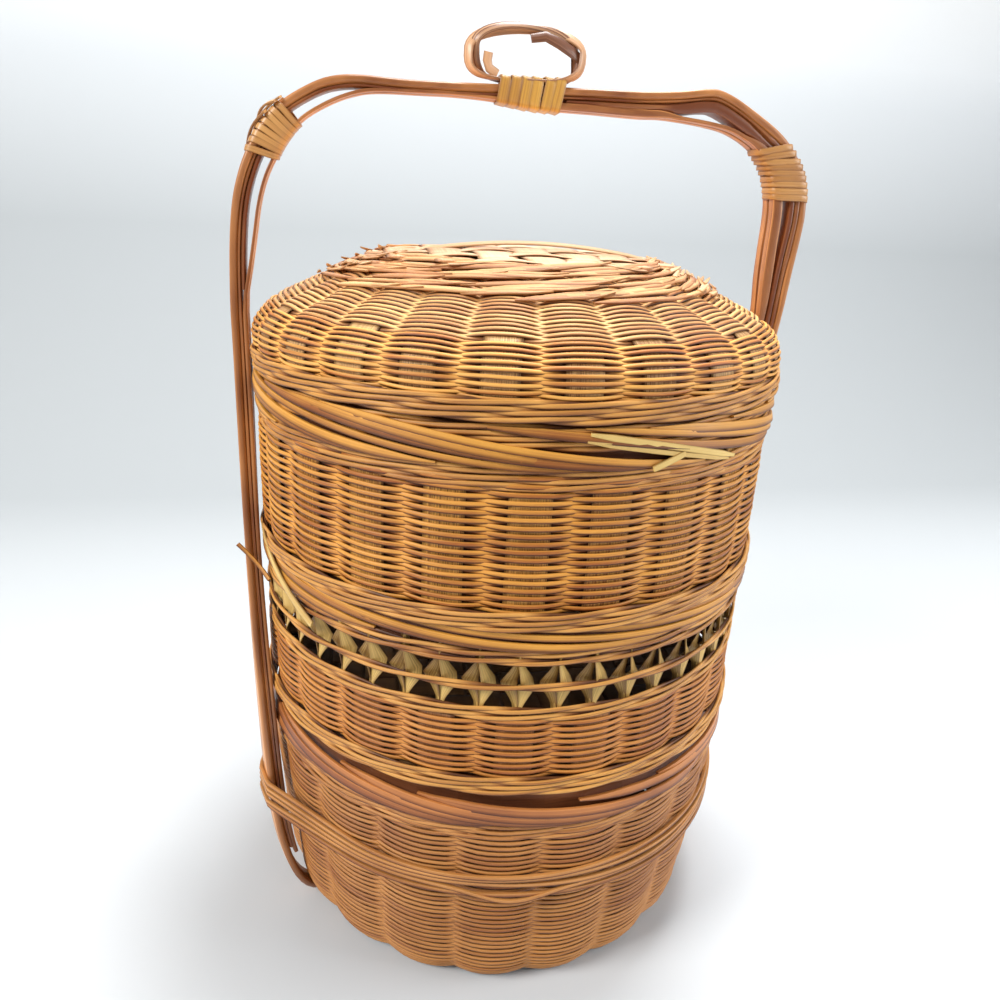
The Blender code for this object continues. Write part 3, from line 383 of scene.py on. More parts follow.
def laid(tree, curves, place, outward, given, sides, caps=False):
    """Moves curves to their places and makes flat strands of them, their thickness along outward."""
    curves, outward = captured(tree, curves, outward, "VECTOR")
    placed = put(tree, "GeometryNodeSetPosition", {"Geometry": curves, "Position": place}).outputs[0]
    turned = put(tree, "GeometryNodeSetCurveNormal", {"Curve": placed, "Normal": outward}, mode="FREE")
    ring = named(tree, unit_circle(tree, sides), "across", here(tree)[1])
    size = xyz(tree, times(tree, given["Thickness"], 0.5), times(tree, given["Width"], 0.5), 1.0)
    ring = put(tree, "GeometryNodeTransform", {"Geometry": ring, "Scale": size}).outputs[0]
    return put(tree, "GeometryNodeCurveToMesh", {"Curve": turned.outputs[0], "Profile Curve": ring,
                                                 "Fill Caps": caps}).outputs[0]


def close_tree(tree, mesh, given, out):
    """Ends a tree: instances made real, faces smooth, material set."""
    real = put(tree, "GeometryNodeRealizeInstances", {"Geometry": mesh}).outputs[0]
    smooth = put(tree, "GeometryNodeSetShadeSmooth", {"Geometry": real}).outputs[0]
    done = put(tree, "GeometryNodeSetMaterial", {"Geometry": smooth, "Material": given["Material"]})
    plug(tree, out, {"Geometry": done.outputs[0]})
    return tree


def wall_curve(tree, given):
    return put(tree, "GeometryNodeMeshToCurve", {"Mesh": given["Geometry"]}).outputs[0]


def close_on_wall(tree, given, out, curves, number, cover, share, angle, reach, rise, sides, caps=False):
    """Marks strands, lays them on the wall at their share of its height, and ends the tree."""
    curves = toned(tree, named(tree, curves, "cover", cover), number, given)
    point = put(tree, "GeometryNodeGroup", {"Profile": wall_curve(tree, given), "Share": share,
                                            "Angle": angle, "Out": reach, "Up": rise}, node_tree=WALL_POINT)
    strands = laid(tree, curves, point.outputs["Position"], point.outputs["Outward"], given, sides, caps)
    return close_tree(tree, strands, given, out)


def make_weave_tree():
    """Weavers that go in and out of the stakes, row by row up a wall's profile."""
    tree, given, out = open_tree("Weave rows", (
        ("Stakes", "Int", 24), ("Rows", "Int", 30), ("Steps", "Int", COLUMN_STEPS), ("Depth", "Float", 0.001),
        ("Swell", "Float", 0.001)) + STRAND_INPUTS)
    points = times(tree, given["Stakes"], given["Steps"])
    curves, angle, row = round_circle(tree, points, given["Rows"])
    wave = calc(tree, "SINE", times(tree, angle, given["Stakes"], 0.5))
    cube = times(tree, wave, wave, wave)
    flat_wave = calc(tree, "SUBTRACT", times(tree, wave, 1.45), times(tree, cube, 0.45))
    side = calc(tree, "MULTIPLY_ADD", calc(tree, "MODULO", row, 2.0), 2.0, -1.0)
    cover = times(tree, flat_wave, side)
    swell = times(tree, calc(tree, "ABSOLUTE", wave), given["Swell"])
    reach = plus(tree, calc(tree, "MULTIPLY_ADD", cover, given["Depth"], swell),
                 wander(tree, given, angle, row, 9.0))
    dip = wander(tree, given, angle, plus(tree, row, 40.0), 6.0)
    share = row_share(tree, row, given["Rows"])
    return close_on_wall(tree, given, out, curves, row, cover, share, angle, reach, dip, 6)


def make_stake_tree():
    """Upright splints, one in the middle of each column."""
    tree, given, out = open_tree("Stakes", (
        ("Stakes", "Int", 24), ("Steps", "Int", 12), ("Swell", "Float", 0.001)) + STRAND_INPUTS)
    line = put(tree, "GeometryNodeResampleCurve", {"Curve": wall_curve(tree, given), "Count": given["Steps"]})
    line, share = captured(tree, line.outputs[0], put(tree, "GeometryNodeSplineParameter").outputs[0])
    curves, number = copies(tree, line, given["Stakes"])
    shift = chance(tree, -0.035, 0.035, number, given["Seed"])
    turn = calc(tree, "DIVIDE", plus(tree, number, 0.5, shift), given["Stakes"])
    angle = times(tree, turn, TAU)
    return close_on_wall(tree, given, out, curves, number, 1.0, share, angle, given["Swell"], 0.0, 8, True)


def make_twine_tree():
    """Strands laid round each other as they go round a wall, in one or more rows."""
    tree, given, out = open_tree("Twined rows", (
        ("Strands", "Int", 2), ("Rows", "Int", 2), ("Lays", "Int", 8), ("Steps", "Int", 192),
        ("Depth", "Float", 0.0006), ("Rise", "Float", 0.0008)) + STRAND_INPUTS)
    total = times(tree, given["Strands"], given["Rows"])
    curves, angle, number = round_circle(tree, given["Steps"], total)
    row = calc(tree, "FLOOR", calc(tree, "DIVIDE", plus(tree, number, 0.5), given["Strands"]))
    start = plus(tree, calc(tree, "DIVIDE", number, given["Strands"]), times(tree, row, 0.37))
    phase = calc(tree, "MULTIPLY_ADD", start, TAU, times(tree, angle, given["Lays"]))
    front = calc(tree, "COSINE", phase)
    reach = calc(tree, "MULTIPLY_ADD", front, given["Depth"], wander(tree, given, angle, number, 4.0))
    dip = wander(tree, given, angle, plus(tree, number, 30.0), 3.0)
    rise = calc(tree, "MULTIPLY_ADD", calc(tree, "SINE", phase), given["Rise"], dip)
    share = row_share(tree, row, given["Rows"])
    return close_on_wall(tree, given, out, curves, number, front, share, angle, reach, rise, 8)


def make_round_tree():
    """Copies of one piece round the basket, each turned a little about its own middle."""
    tree, given, out = open_tree("Round the basket", (
        ("Count", "Int", 48), ("Radius", "Float", 0.115), ("Twist", "Float", 0.0), ("Shift", "Float", 0.0),
        ("Lift", "Float", 0.0), ("Seed", "Int", 1), ("Material", "Material", None)))
    number = put(tree, "GeometryNodeInputIndex").outputs[0]
    turn = times(tree, calc(tree, "DIVIDE", number, given["Count"]), TAU)
    angle = calc(tree, "MULTIPLY_ADD", chance(tree, -1.0, 1.0, number, given["Seed"]), given["Shift"], turn)
    lift = chance(tree, 0.0, given["Lift"], plus(tree, number, 900.0), given["Seed"])
    spot = on_circle(tree, angle, given["Radius"], lift)
    points = put(tree, "GeometryNodePoints", {"Count": given["Count"], "Position": spot}).outputs[0]
    twist = chance(tree, -1.0, 1.0, plus(tree, number, 500.0), given["Seed"])
    facing = xyz(tree, 0.0, 0.0, calc(tree, "MULTIPLY_ADD", twist, given["Twist"], turn))
    made = put(tree, "GeometryNodeInstanceOnPoints", {"Points": points, "Instance": given["Geometry"],
                                                      "Rotation": facing}).outputs[0]
    return close_tree(tree, toned(tree, made, number, given, "INSTANCE"), given, out)


def make_plait_tree():
    """Wide splints plaited over and under, cut off along a circle."""
    tree, given, out = open_tree("Plait", (
        ("Count", "Int", 7), ("Pitch", "Float", 0.017), ("Radius", "Float", 0.06), ("Depth", "Float", 0.0006),
        ("Dome", "Float", 0.0), ("Height", "Float", 0.0)) + STRAND_INPUTS)
    middle = times(tree, calc(tree, "SUBTRACT", given["Count"], 1.0), 0.5)
    radius_squared = times(tree, given["Radius"], given["Radius"])
    both = tree.nodes.new("GeometryNodeJoinGeometry")
    for layer in (0, 1):
        ends = {"Start": (-1.0, 0.0, 0.0), "End": (1.0, 0.0, 0.0)}
        line = put(tree, "GeometryNodeCurvePrimitiveLine", ends).outputs[0]
        fine = put(tree, "GeometryNodeResampleCurve", {"Curve": line, "Count": 41}).outputs[0]
        lines, number = copies(tree, fine, given["Count"])
        y = times(tree, calc(tree, "SUBTRACT", number, middle), given["Pitch"])
        y_squared = times(tree, y, y)
        reach = calc(tree, "SQRT", calc(tree, "SUBTRACT", radius_squared, y_squared))
        x = times(tree, here(tree)[0], reach)
        beat = plus(tree, calc(tree, "DIVIDE", x, given["Pitch"]), middle, number)
        over = times(tree, calc(tree, "COSINE", times(tree, beat, math.pi)), 1.0 - 2.0 * layer)
        far = calc(tree, "DIVIDE", plus(tree, times(tree, x, x), y_squared), radius_squared)
        dome = times(tree, calc(tree, "SUBTRACT", 1.0, far), given["Dome"])
        z = plus(tree, calc(tree, "MULTIPLY_ADD", over, given["Depth"], dome), given["Height"])
        lines = toned(tree, named(tree, lines, "cover", over), plus(tree, number, 60.0 * layer), given)
        place = xyz(tree, x, y, z) if layer == 0 else xyz(tree, times(tree, y, -1.0), x, z)
        splints = laid(tree, lines, place, xyz(tree, 0.0, 0.0, 1.0), given, 8, True)
        tree.links.new(splints, both.inputs[0])
    return close_tree(tree, both.outputs[0], given, out)


WEAVE, STAKES, TWINE = make_weave_tree(), make_stake_tree(), make_twine_tree()
ROUND, PLAIT = make_round_tree(), make_plait_tree()


def show(name, mesh):
    made = bpy.data.objects.new(name, mesh)
    bpy.context.scene.collection.objects.link(made)
    return made


def grow(name, tree, mesh, **values):
    """A plain mesh made by a tree from a starting mesh; values are the tree's named inputs."""
    start = show(name + "_start", mesh)
    modifier = start.modifiers.new("nodes", "NODES")
    modifier.node_group = tree
    for item in tree.interface.items_tree:
        key = item.name.lower()
        if item.in_out == "INPUT" and key in values:
            modifier[item.identifier] = values[key]
    depsgraph = bpy.context.evaluated_depsgraph_get()
    result = bpy.data.meshes.new_from_object(start.evaluated_get(depsgraph))
    bpy.data.objects.remove(start)
    return show(name, result)


def profile_mesh(name, points):
    """Line of (radius, height) points in millimetres, from the lower edge of a wall up."""
    mesh = bpy.data.meshes.new(name)
    corners = [(radius * MM, 0.0, height * MM) for radius, height in points]
    mesh.from_pydata(corners, [(i, i + 1) for i in range(len(corners) - 1)], [])
    return mesh


def seat(piece, body, slot, *nodes):
    """Puts a piece on its body in place of CAD nodes; slot, its finish, is not used."""
    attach(piece, body)
    if nodes:
        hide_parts(*nodes)
    return piece


def weave(name, points, stakes, material, seed, pitch=WEAVER_PITCH, width=WEAVER_WIDTH,
          thickness=WEAVER_THICKNESS, depth=WEAVE_DEPTH, swell=STAKE_SWELL):
    rows = round(sum(math.dist(a, b) for a, b in zip(points, points[1:])) * MM / pitch)
    return grow(name, WEAVE, profile_mesh(name, points), stakes=stakes, rows=rows, depth=depth, swell=swell,
                width=width, thickness=thickness, unevenness=WEAVE_UNEVENNESS, seed=seed, material=material)


def stakes(name, points, count, width, material, seed, swell=STAKE_SWELL):
    return grow(name, STAKES, profile_mesh(name, points), stakes=count, steps=max(6, len(points) * 3),
                swell=swell, width=width, thickness=STAKE_THICKNESS, seed=seed, material=material)


def twine(name, points, rows, lays, material, seed, depth=0.75 * MM, rise=0.72 * MM, width=2.0 * MM):
    return grow(name, TWINE, profile_mesh(name, points), strands=2, rows=rows, lays=lays, steps=TWINE_STEPS,
                depth=depth, rise=rise, width=width, thickness=TWINE_THICKNESS,
                unevenness=TWINE_UNEVENNESS, seed=seed, material=material)


def skirt(name, body, low, seed):
    """Twined lower edge of a tray or of the lid, from its lowest height in millimetres up."""
    points = [(SKIRT_RADIUS, low), (SKIRT_RADIUS, low + SKIRT_HEIGHT)]
    seat(twine(name + "_skirt_twine", points, 3, 11, TWINE_CANE, seed), body, "woven_cane", name + "_skirt")


def plait(name, count, pitch, radius, height, material, seed, width, depth, dome=0.0):
    return grow(name, PLAIT, bpy.data.meshes.new(name), count=count, pitch=pitch, radius=radius, depth=depth,
                dome=dome, height=height, width=width, thickness=PLAIT_THICKNESS, seed=seed,
                material=material)


def floor_plait(name, body, pitch, radius, height, seed):
    """Plaited floor of a tray, its sizes in millimetres."""
    seat(plait(name + "_floor_plait", FLOOR_SPLINTS, pitch * MM, radius * MM, height * MM, FLOOR_SPLINT, seed,
               (pitch - FLOOR_GAP) * MM, 0.55 * MM), body, "pale_splint", name + "_floor")


# Strands that follow a written path

def at_point(value, index):
    """The value at one point of a path, of a list or of one value for the whole path."""
    return value[index] if isinstance(value, list) else value


def spots(points):
    """Places in metres from places in millimetres."""
    return [Vector((x * MM, y * MM, z * MM)) for x, y, z in points]


class Strands:
    """Collects flat strands with rounded edges into one mesh."""

    SECTION = ((-1.0, -0.45), (-0.86, -1.0), (0.0, -1.06), (0.86, -1.0),
               (1.0, -0.45), (1.0, 0.45), (0.86, 1.0), (0.0, 1.06), (-0.86, 1.0), (-1.0, 0.45))

    def __init__(self):
        self.points, self.faces, self.across, self.strand = [], [], [], []

    def add(self, path, outward, width, thickness, tone, closed=False):
        """One strand; outward, width and thickness may be lists, one value for each point of the path."""
        count = len(path)
        first = len(self.points)
        sides = len(self.SECTION)
        for index, point in enumerate(path):
            before = path[(index - 1) % count] if closed or index else point
            after = path[(index + 1) % count] if closed or index < count - 1 else point
            tangent = (after - before).normalized()
            across = tangent.cross(at_point(outward, index)).normalized()
            out = across.cross(tangent)
            wide, thick = at_point(width, index), at_point(thickness, index)
            for x, y in self.SECTION:
                self.points.append(point + across * (x * wide / 2.0) + out * (y * thick / 2.0))
                self.across.append(x)
                self.strand.append(tone)
        for index in range(count if closed else count - 1):
            low, high = first + index * sides, first + (index + 1) % count * sides
            for side in range(sides):
                after = (side + 1) % sides
                self.faces.append((low + side, low + after, high + after, high + side))
        if not closed:
            self.faces.append([first + side for side in range(sides)][::-1])
            self.faces.append([first + (count - 1) * sides + side for side in range(sides)])

    def trace(self, steps, at, thickness, tone, closed=False):
        """One strand; at gives its place, its way out and its width for each share of its length."""
        shares = [step / steps for step in range(steps if closed else steps + 1)]
        path, outward, widths = (list(column) for column in zip(*map(at, shares)))
        self.add(path, outward, widths, thickness, tone, closed)

    def build(self, name, material):
        mesh = bpy.data.meshes.new(name)
        mesh.from_pydata(self.points, [], self.faces)
        cover = [1.0] * len(self.points)
        for key, values in (("across", self.across), ("strand", self.strand), ("cover", cover)):
            mesh.attributes.new(key, "FLOAT", "POINT").data.foreach_set("value", values)
        mesh.shade_smooth()
        mesh.set_sharp_from_angle(angle=math.radians(50.0))
        mesh.materials.append(material)
        return show(name, mesh)

    def seat(self, name, material, body, slot, *nodes):
        return seat(self.build(name, material), body, slot, *nodes)


def ease(value):
    value = min(1.0, max(0.0, value))
    return value * value * (3.0 - 2.0 * value)


def mix(low, high, share):
    return low + (high - low) * share


def polar(radius, angle, height):
    return Vector((radius * math.cos(angle), radius * math.sin(angle), height))


def run_round(strands, start, end, heights, radii, width, thickness, tone, sag=0.0, taper=0.35):
    """A splint laid round the stack between two angles in degrees; heights and radii in millimetres."""
    def at(share):
        angle = math.radians(mix(start, end, share))
        height = mix(*heights, share) - sag * math.sin(math.pi * share)
        wide = width * MM * (taper + (1.0 - taper) * min(1.0, 8.0 * share, 8.0 * (1.0 - share)))
        return polar(mix(*radii, share) * MM, angle, height * MM), polar(1.0, angle, 0.0), wide

    strands.trace(max(6, round(abs(end - start) / 4.0)), at, thickness * MM, tone)


def rim_bundle(name, body, heights, count, span, width, seed, material, nodes, radii=(116.9, 118.9)):
    """Flat splints that wind down round a rim, each lapped over the next."""
    dice = random.Random(seed)
    strands = Strands()
    low, high = heights
    for index in range(count):
        start = 360.0 * index / count + dice.uniform(-9.0, 9.0) + seed * 31.0
        long = span * dice.uniform(0.85, 1.2)
        wide = width * dice.uniform(0.8, 1.2)

        def at(share):
            angle = math.radians(start + long * share)
            slide = 0.35 * share + 0.65 * ease(share)
            height = mix(high - wide / 2.0, low + wide / 2.0, slide)
            radius = mix(*radii, math.sin(math.pi * share) ** 0.7) + 0.25 * math.sin(9.0 * share + index)
            return (polar(radius * MM, angle, height * MM), polar(1.0, angle, 0.22),
                    wide * MM * min(1.0, 0.3 + 6.0 * share, 0.3 + 6.0 * (1.0 - share)))

        strands.trace(round(long / 3.0), at, 1.6 * MM, dice.random())
    strands.seat(name, material, body, "rim_splint", *nodes)


# Bottom tray. A wall's profile is a line of (radius, height) points in millimetres.

BOTTOM_WALL = [(103.2, 2.3), (105.4, 4.8), (108.5, 10.5), (110.2, 17.0), (111.0, 26.0), (112.4, 43.0),
               (113.6, 60.0), (114.9, 75.0), (115.6, 90.0), (115.4, 100.5)]


def dress_bottom_tray():
    seat(weave("bottom_weavers", BOTTOM_WALL, 20, BASE_CANE, 11, width=2.1 * MM, pitch=1.39 * MM,
               swell=1.25 * MM), "frame_and_base", "woven_cane", "bottom_wall")
    seat(stakes("bottom_stakes", BOTTOM_WALL + [(115.4, 103.6)], 20, 17.0 * MM, BASE_STAKE, 12,
                swell=1.0 * MM), "frame_and_base", "woven_cane")
    seat(twine("bottom_rim_twine", [(116.6, 93.0), (116.7, 101.4)], 3, 9, WAIST_CANE, 13, width=1.9 * MM),
         "frame_and_base", "woven_cane")
    rim_bundle("bottom_rim", "frame_and_base", (99.2, 113.6), 14, 82.0, 3.7, 3, BASE_RIM_SPLINT,
               ("bottom_rim_splint_1", "bottom_rim_splint_2"))
    floor_plait("bottom", "frame_and_base", 14.6, 100.0, 5.0, 14)


def band_radius(angle, height, wall):
    """Inner face of the waist band: round the wall, and pulled straight from it over each leg."""
    half = STRIP_WIDTH / 2.0 + 1.2 * MM
    corner = math.hypot(LEG_RADIUS + LEG_SWELL, half) + 0.3 * MM
    corner_angle = math.asin(half / corner)
    meets = corner_angle + math.acos(wall / corner)
    turn = abs((angle - lean_at(height) + math.pi / 2.0) % math.pi - math.pi / 2.0)
    if turn < corner_angle:
        return corner * math.cos(corner_angle) / math.cos(turn)
    return wall / math.cos(meets - turn) if turn < meets else wall


def dress_waist_band():
    """Strands twined round the bottom tray and over the legs, one of them slack in front."""
    dice = random.Random(17)
    strands = Strands()
    for index in range(5):
        height = (74.2 - 2.75 * index) * MM
        tone, start, lays = dice.random(), dice.uniform(0.0, TAU), (3, 4, 5, 3, 4)[index]

        def at(share):
            angle = TAU * share
            swing = lays * angle + start
            slack = math.exp(-((math.degrees(angle) - 264.0) / 9.0) ** 2) if index == 3 else 0.0
            out = 1.15 + 0.55 * math.cos(swing) + 0.9 * slack
            radius = band_radius(angle, height, 117.2 * MM) + out * MM
            rise = (1.2 * math.sin(swing) - 5.5 * slack) * MM
            return polar(radius, angle, height + rise), polar(1.0, angle, 0.15), 1.9 * MM

        strands.trace(240, at, 1.5 * MM, tone, closed=True)
    strands.seat("waist_band", WAIST_CANE, "frame_and_base", "woven_cane",
                 "waist_cord_upper", "waist_cord_lower")


# Carrying frame

def super_ellipse(half_width, rise, power, share):
    """Point of a quarter super-ellipse, from its side at share 0 to its top at share 1."""
    angle = math.pi / 2.0 * share
    return (half_width * max(math.cos(angle), 0.0) ** (2.0 / power), rise * math.sin(angle) ** (2.0 / power))


def lean_at(height):
    """Angle by which the legs stand round the body from the handle's plane."""
    return LEG_LEAN * (1.0 - ease(height / SPRING_HEIGHT))


def on_frame(radius, height, side, follow=1.0):
    """Point of a leg, the right one for side 1 and the left one for side -1.

    follow is the share that it takes of the right leg's offset.
    """
    low, high = RIGHT_OFFSET_HEIGHTS
    offset = TOP_OFFSET * ease((height / MM - low) / (high - low)) * follow if side > 0 else 0.0
    angle = lean_at(height)
    return Vector((side * radius * math.cos(angle) + offset, side * radius * math.sin(angle), height))


def across_leg(height):
    """Direction across the strips' width at a height."""
    angle = lean_at(height)
    return Vector((-math.sin(angle), math.cos(angle), 0.0))


def even(points, count):
    """Points at even distances along a fine line."""
    lengths = [0.0]
    for first, second in zip(points, points[1:]):
        lengths.append(lengths[-1] + math.dist(first, second))
    result, index = [], 0
    for step in range(count + 1):
        target = lengths[-1] * step / count
        while index < len(points) - 2 and lengths[index + 1] < target:
            index += 1
        span = lengths[index + 1] - lengths[index]
        share = min(1.0, (target - lengths[index]) / span) if span > 0.0 else 0.0
        result.append(tuple(mix(a, b, share) for a, b in zip(points[index], points[index + 1])))
    return result


def smooth_line(points, steps=7):
    """Rounded line through points of the handle's plane, in metres."""
    line = []
    last = len(points) - 1
    for index in range(last):
        quad = [points[min(max(index + near, 0), last)] for near in (-1, 0, 1, 2)]
        for step in range(steps):
            t = step / steps
            x, z = (0.5 * (2.0 * b + (c - a) * t + (2.0 * a - 5.0 * b + 4.0 * c - d) * t * t
                           + (3.0 * b - a - 3.0 * c + d) * t ** 3) for a, b, c, d in zip(*quad))
            line.append(Vector((x * MM, 0.0, z * MM)))
    line.append(Vector((points[-1][0] * MM, 0.0, points[-1][1] * MM)))
    return line


def strip_path(arch, depth, low, follow=1.0):
    """Face of a strip from the lower end of its right leg over the handle to that of its left."""
    legs = []
    for side in (1, -1):
        leg = []
        for step in range(301):
            inward, rise = super_ellipse(FOOT_REACH, FOOT_HEIGHT, FOOT_POWER, 1.0 - step / 300)
            height = FOOT_HEIGHT - rise
            swell = LEG_SWELL * ease((height / MM - 8.0) / 50.0) if depth == 0.0 else 0.0
            if height >= low:
                leg.append((LEG_RADIUS - FOOT_REACH + inward - depth + swell, height))
        top = LEG_RADIUS - depth + (LEG_SWELL if depth == 0.0 else 0.0)
        leg = even(leg, 24) + [(top, mix(FOOT_HEIGHT, SPRING_HEIGHT, step / 24)) for step in range(1, 24)]
        legs.append([on_frame(*point, side, follow) for point in leg])
    return legs[0] + smooth_line(arch) + legs[1][::-1]


def strip_outward(path, closed):
    """Direction out of the frame at each point of a strip."""
    outward = []
    for index, point in enumerate(path):
        before = path[index - 1] if closed or index else point
        after = path[(index + 1) % len(path)] if closed or index < len(path) - 1 else point
        tangent = (after - before).normalized()
        across = across_leg(point.z)
        across = (across - tangent * across.dot(tangent)).normalized()
        outward.append(across.cross(tangent))
    return outward


def inside_of(path, depth):
    """The path moved into the frame by a depth that is a function of the place."""
    return [point - out * depth(point) for point, out in zip(path, strip_outward(path, False))]


def frame_strip(name, path, side, thickness, tone, ripple, *nodes, closed=False, split=None):
    """One strip of the frame, with slow ripples; split makes it two narrower strips side by side.

    The path is the strip's outer face for side -1, and its inner face for side 1; thickness is a function
    of the place.
    """
    outward = strip_outward(path, closed)
    strands = Strands()
    for part, (shift, width) in enumerate(split or ((0.0, STRIP_WIDTH),)):
        line, widths, thicks = [], [], []
        for index, (point, out) in enumerate(zip(path, outward)):
            wave = math.sin(index * 0.19 + 2.1 * part) + 0.6 * math.sin(index * 0.43 + 1.3)
            thick = thickness(point)
            aside = across_leg(point.z) * (shift + ripple * wave * 0.5)
            line.append(point + out * (side * thick * 0.53) + aside)
            widths.append(width - ripple * abs(wave))
            thicks.append(thick)
        strands.add(line, outward, widths, thicks, tone + 0.3 * part, closed)
    strands.seat(name, FRAME_STRIP, "frame_and_base", "frame_bamboo", *nodes)


def on_lower_leg(point):
    """1 on the legs beside the stack, 0 above it."""
    return 1.0 - ease((point.z / MM - 282.0) / 34.0)


def on_right_shoulder(point):
    """1 on the right leg and shoulder, 0 on the handle."""
    return ease((point.x / MM - 98.0) / 16.0)


def beside_right_shoulder(point):
    """1 on the bowed stretch of the handle beside the right shoulder."""
    return ease((point.x / MM - 56.0) / 14.0) * (1.0 - on_right_shoulder(point))


def middle_thickness(point):
    lower = on_lower_leg(point)
    return MM * (1.2 + 0.5 * lower + 1.2 * on_right_shoulder(point) * (1.0 - lower))


def third_thickness(point):
    if point.x < 0.0:
        return 1.6 * MM
    return MM * (mix(1.2, 2.4, ease((point.x / MM - 20.0) / 20.0)) + 1.9 * beside_right_shoulder(point))


def inner_thickness(point):
    handle = mix(1.2, 3.0, ease((point.x / MM + 20.0) / 50.0)) - 1.6 * beside_right_shoulder(point)
    return MM * mix(mix(handle, 4.4, on_right_shoulder(point)), 1.85, on_lower_leg(point))


def dress_strips():
    outer = strip_path(OUTER_ARCH, 0.0, 0.0)
    frame_strip("outer_strip", outer, -1, lambda point: OUTER_THICKNESS, 0.62, 0.25 * MM, "frame_outer_strip",
                closed=True)
    ends = [point for point in outer if point.z >= 30.0 * MM]
    middle = inside_of(ends, lambda point: OUTER_THICKNESS + 0.15 * MM)
    # The middle strip's low tone is painted shade: it lies in shadow under the outer strip.
    frame_strip("middle_strip", middle, -1, middle_thickness, -0.3, 0.3 * MM, "frame_middle_strip")
    third = inside_of(middle, lambda point: middle_thickness(point) + 0.2 * MM)
    for name, start, low in (("right_third_strip", 13.0, 272.0), ("left_third_strip", -104.0, 300.0)):
        part = [inside for point, inside in zip(middle, third)
                if (point.x - start * MM) * start > 0.0 and point.z > low * MM]
        # The third strips' very low tone is painted shade: they lie in deep shadow under the handle.
        frame_strip(name, part, -1, third_thickness, -1.3, 0.3 * MM)
    inner = strip_path(INNER_ARCH, BUNDLE_DEPTH, 30.0 * MM, 0.0)
    frame_strip("inner_strip", inner, 1, inner_thickness, 0.4, 0.3 * MM, "frame_inner_strip",
                split=((-2.9 * MM, 5.2 * MM), (2.9 * MM, 5.2 * MM)))


def box_turn(angle, half_out, half_across, corner):
    """Place round a rounded box, as out and across."""
    out, across = math.cos(angle), math.sin(angle)
    return (half_out * math.copysign(abs(out) ** corner, out),
            half_across * math.copysign(abs(across) ** corner, across))


def wind(strands, outer, inner, turns, width, extra, seed, corner=0.5, slant=0.03, spiral=0.9):
    """Flat cane wound round the strips; outer and inner give their faces along the wound stretch."""
    dice = random.Random(seed)
    fit = WRAP_THICKNESS / 2.0 + 0.25 * MM
    for turn in range(turns):
        lean, start, tone = dice.uniform(-slant, slant), dice.uniform(0.0, TAU), dice.random()

        def at(part):
            angle = TAU * part
            share = (turn + 0.5 + lean * 4.0 * math.cos(angle + start) + (part - 0.5) * spiral) / turns
            top, bottom = outer(share), inner(share)
            out_way = (top - bottom).normalized()
            half_out = ((top - bottom).length + extra) / 2.0 + fit
            middle = (top + bottom) / 2.0 + out_way * (extra / 2.0)
            out, across = box_turn(angle, half_out, STRIP_WIDTH / 2.0 + fit, corner)
            way = out_way * math.cos(angle) + Vector((0.0, math.sin(angle), 0.0))
            return middle + out_way * out + Vector((0.0, across, 0.0)), way, width

        strands.trace(28, at, WRAP_THICKNESS, tone)


def line_between(points, start, end):
    """Function of a share that runs along a line, between its places next to start and end.

    The points, the start and the end are in millimetres.
    """
    line = smooth_line(points)
    ends = []
    for x, z in (start, end):
        target = Vector((x * MM, 0.0, z * MM))
        ends.append(min(range(len(line)), key=lambda index: (line[index] - target).length))

    def at(share):
        spot = min(max(mix(*ends, share), 0.0), len(line) - 1.001)
        index = int(spot)
        return line[index].lerp(line[index + 1], spot - index)
    return at


def dress_bindings():
    """Bindings of flat cane at both shoulders and at the middle of the handle."""
    for name, node, ends, turns, seed in (
            ("left_binding", "left_shoulder_binding", ((-102.0, 376.4), (-116.6, 358.4), (-95.5, 368.2),
                                                       (-105.6, 354.6)), 8, 51),
            ("right_binding", "right_shoulder_binding", ((118.4, 374.8), (134.2, 349.5), (106.6, 368.6),
                                                         (117.9, 347.5)), 9, 52)):
        strands = Strands()
        outer, inner = line_between(OUTER_ARCH, *ends[:2]), line_between(INNER_ARCH, *ends[2:])
        pitch = ((outer(0.0) - outer(1.0)).length + (inner(0.0) - inner(1.0)).length) / 2.0 / turns
        wind(strands, outer, inner, turns, pitch * 1.02, 0.0, seed, slant=0.05)
        if name == "left_binding":
            wind_across(strands, outer, inner)
        strands.seat(name, BINDING_CANE, "frame_and_base", "binding_cane", node)
    strands = Strands()
    left, right = CENTRE_X - CENTRE_HALF, CENTRE_X + CENTRE_HALF
    outer = line_between(OUTER_ARCH, (left, 388.0), (right, 388.3))
    inner = line_between(INNER_ARCH, (left, 381.6), (right, 379.6))
    wind(strands, outer, inner, 6, 4.7 * MM, 2.4 * MM, 53, corner=0.36, spiral=-0.4)
    strands.seat("centre_wrap", GOLDEN_CANE, "frame_and_base", "binding_cane", "centre_binding")


def wind_across(strands, outer, inner):
    """Turns that cross the others on the outer side of the left binding, and a loop that stands off it."""
    for first, last, rise, tone in ((0.0, 0.85, 1.0, 0.85), (0.35, 1.0, 1.4, 0.3), (0.1, 0.62, 2.4, 0.6)):

        def at(part):
            share = mix(first, last, part)
            top, bottom = outer(share), inner(share)
            way = (top - bottom).normalized()
            lift = (0.9 + rise * math.sin(math.pi * part)) * MM
            return top + way * lift + Vector((0.0, mix(-6.4, 5.6, part) * MM, 0.0)), way, 2.6 * MM

        strands.trace(14, at, WRAP_THICKNESS, tone)


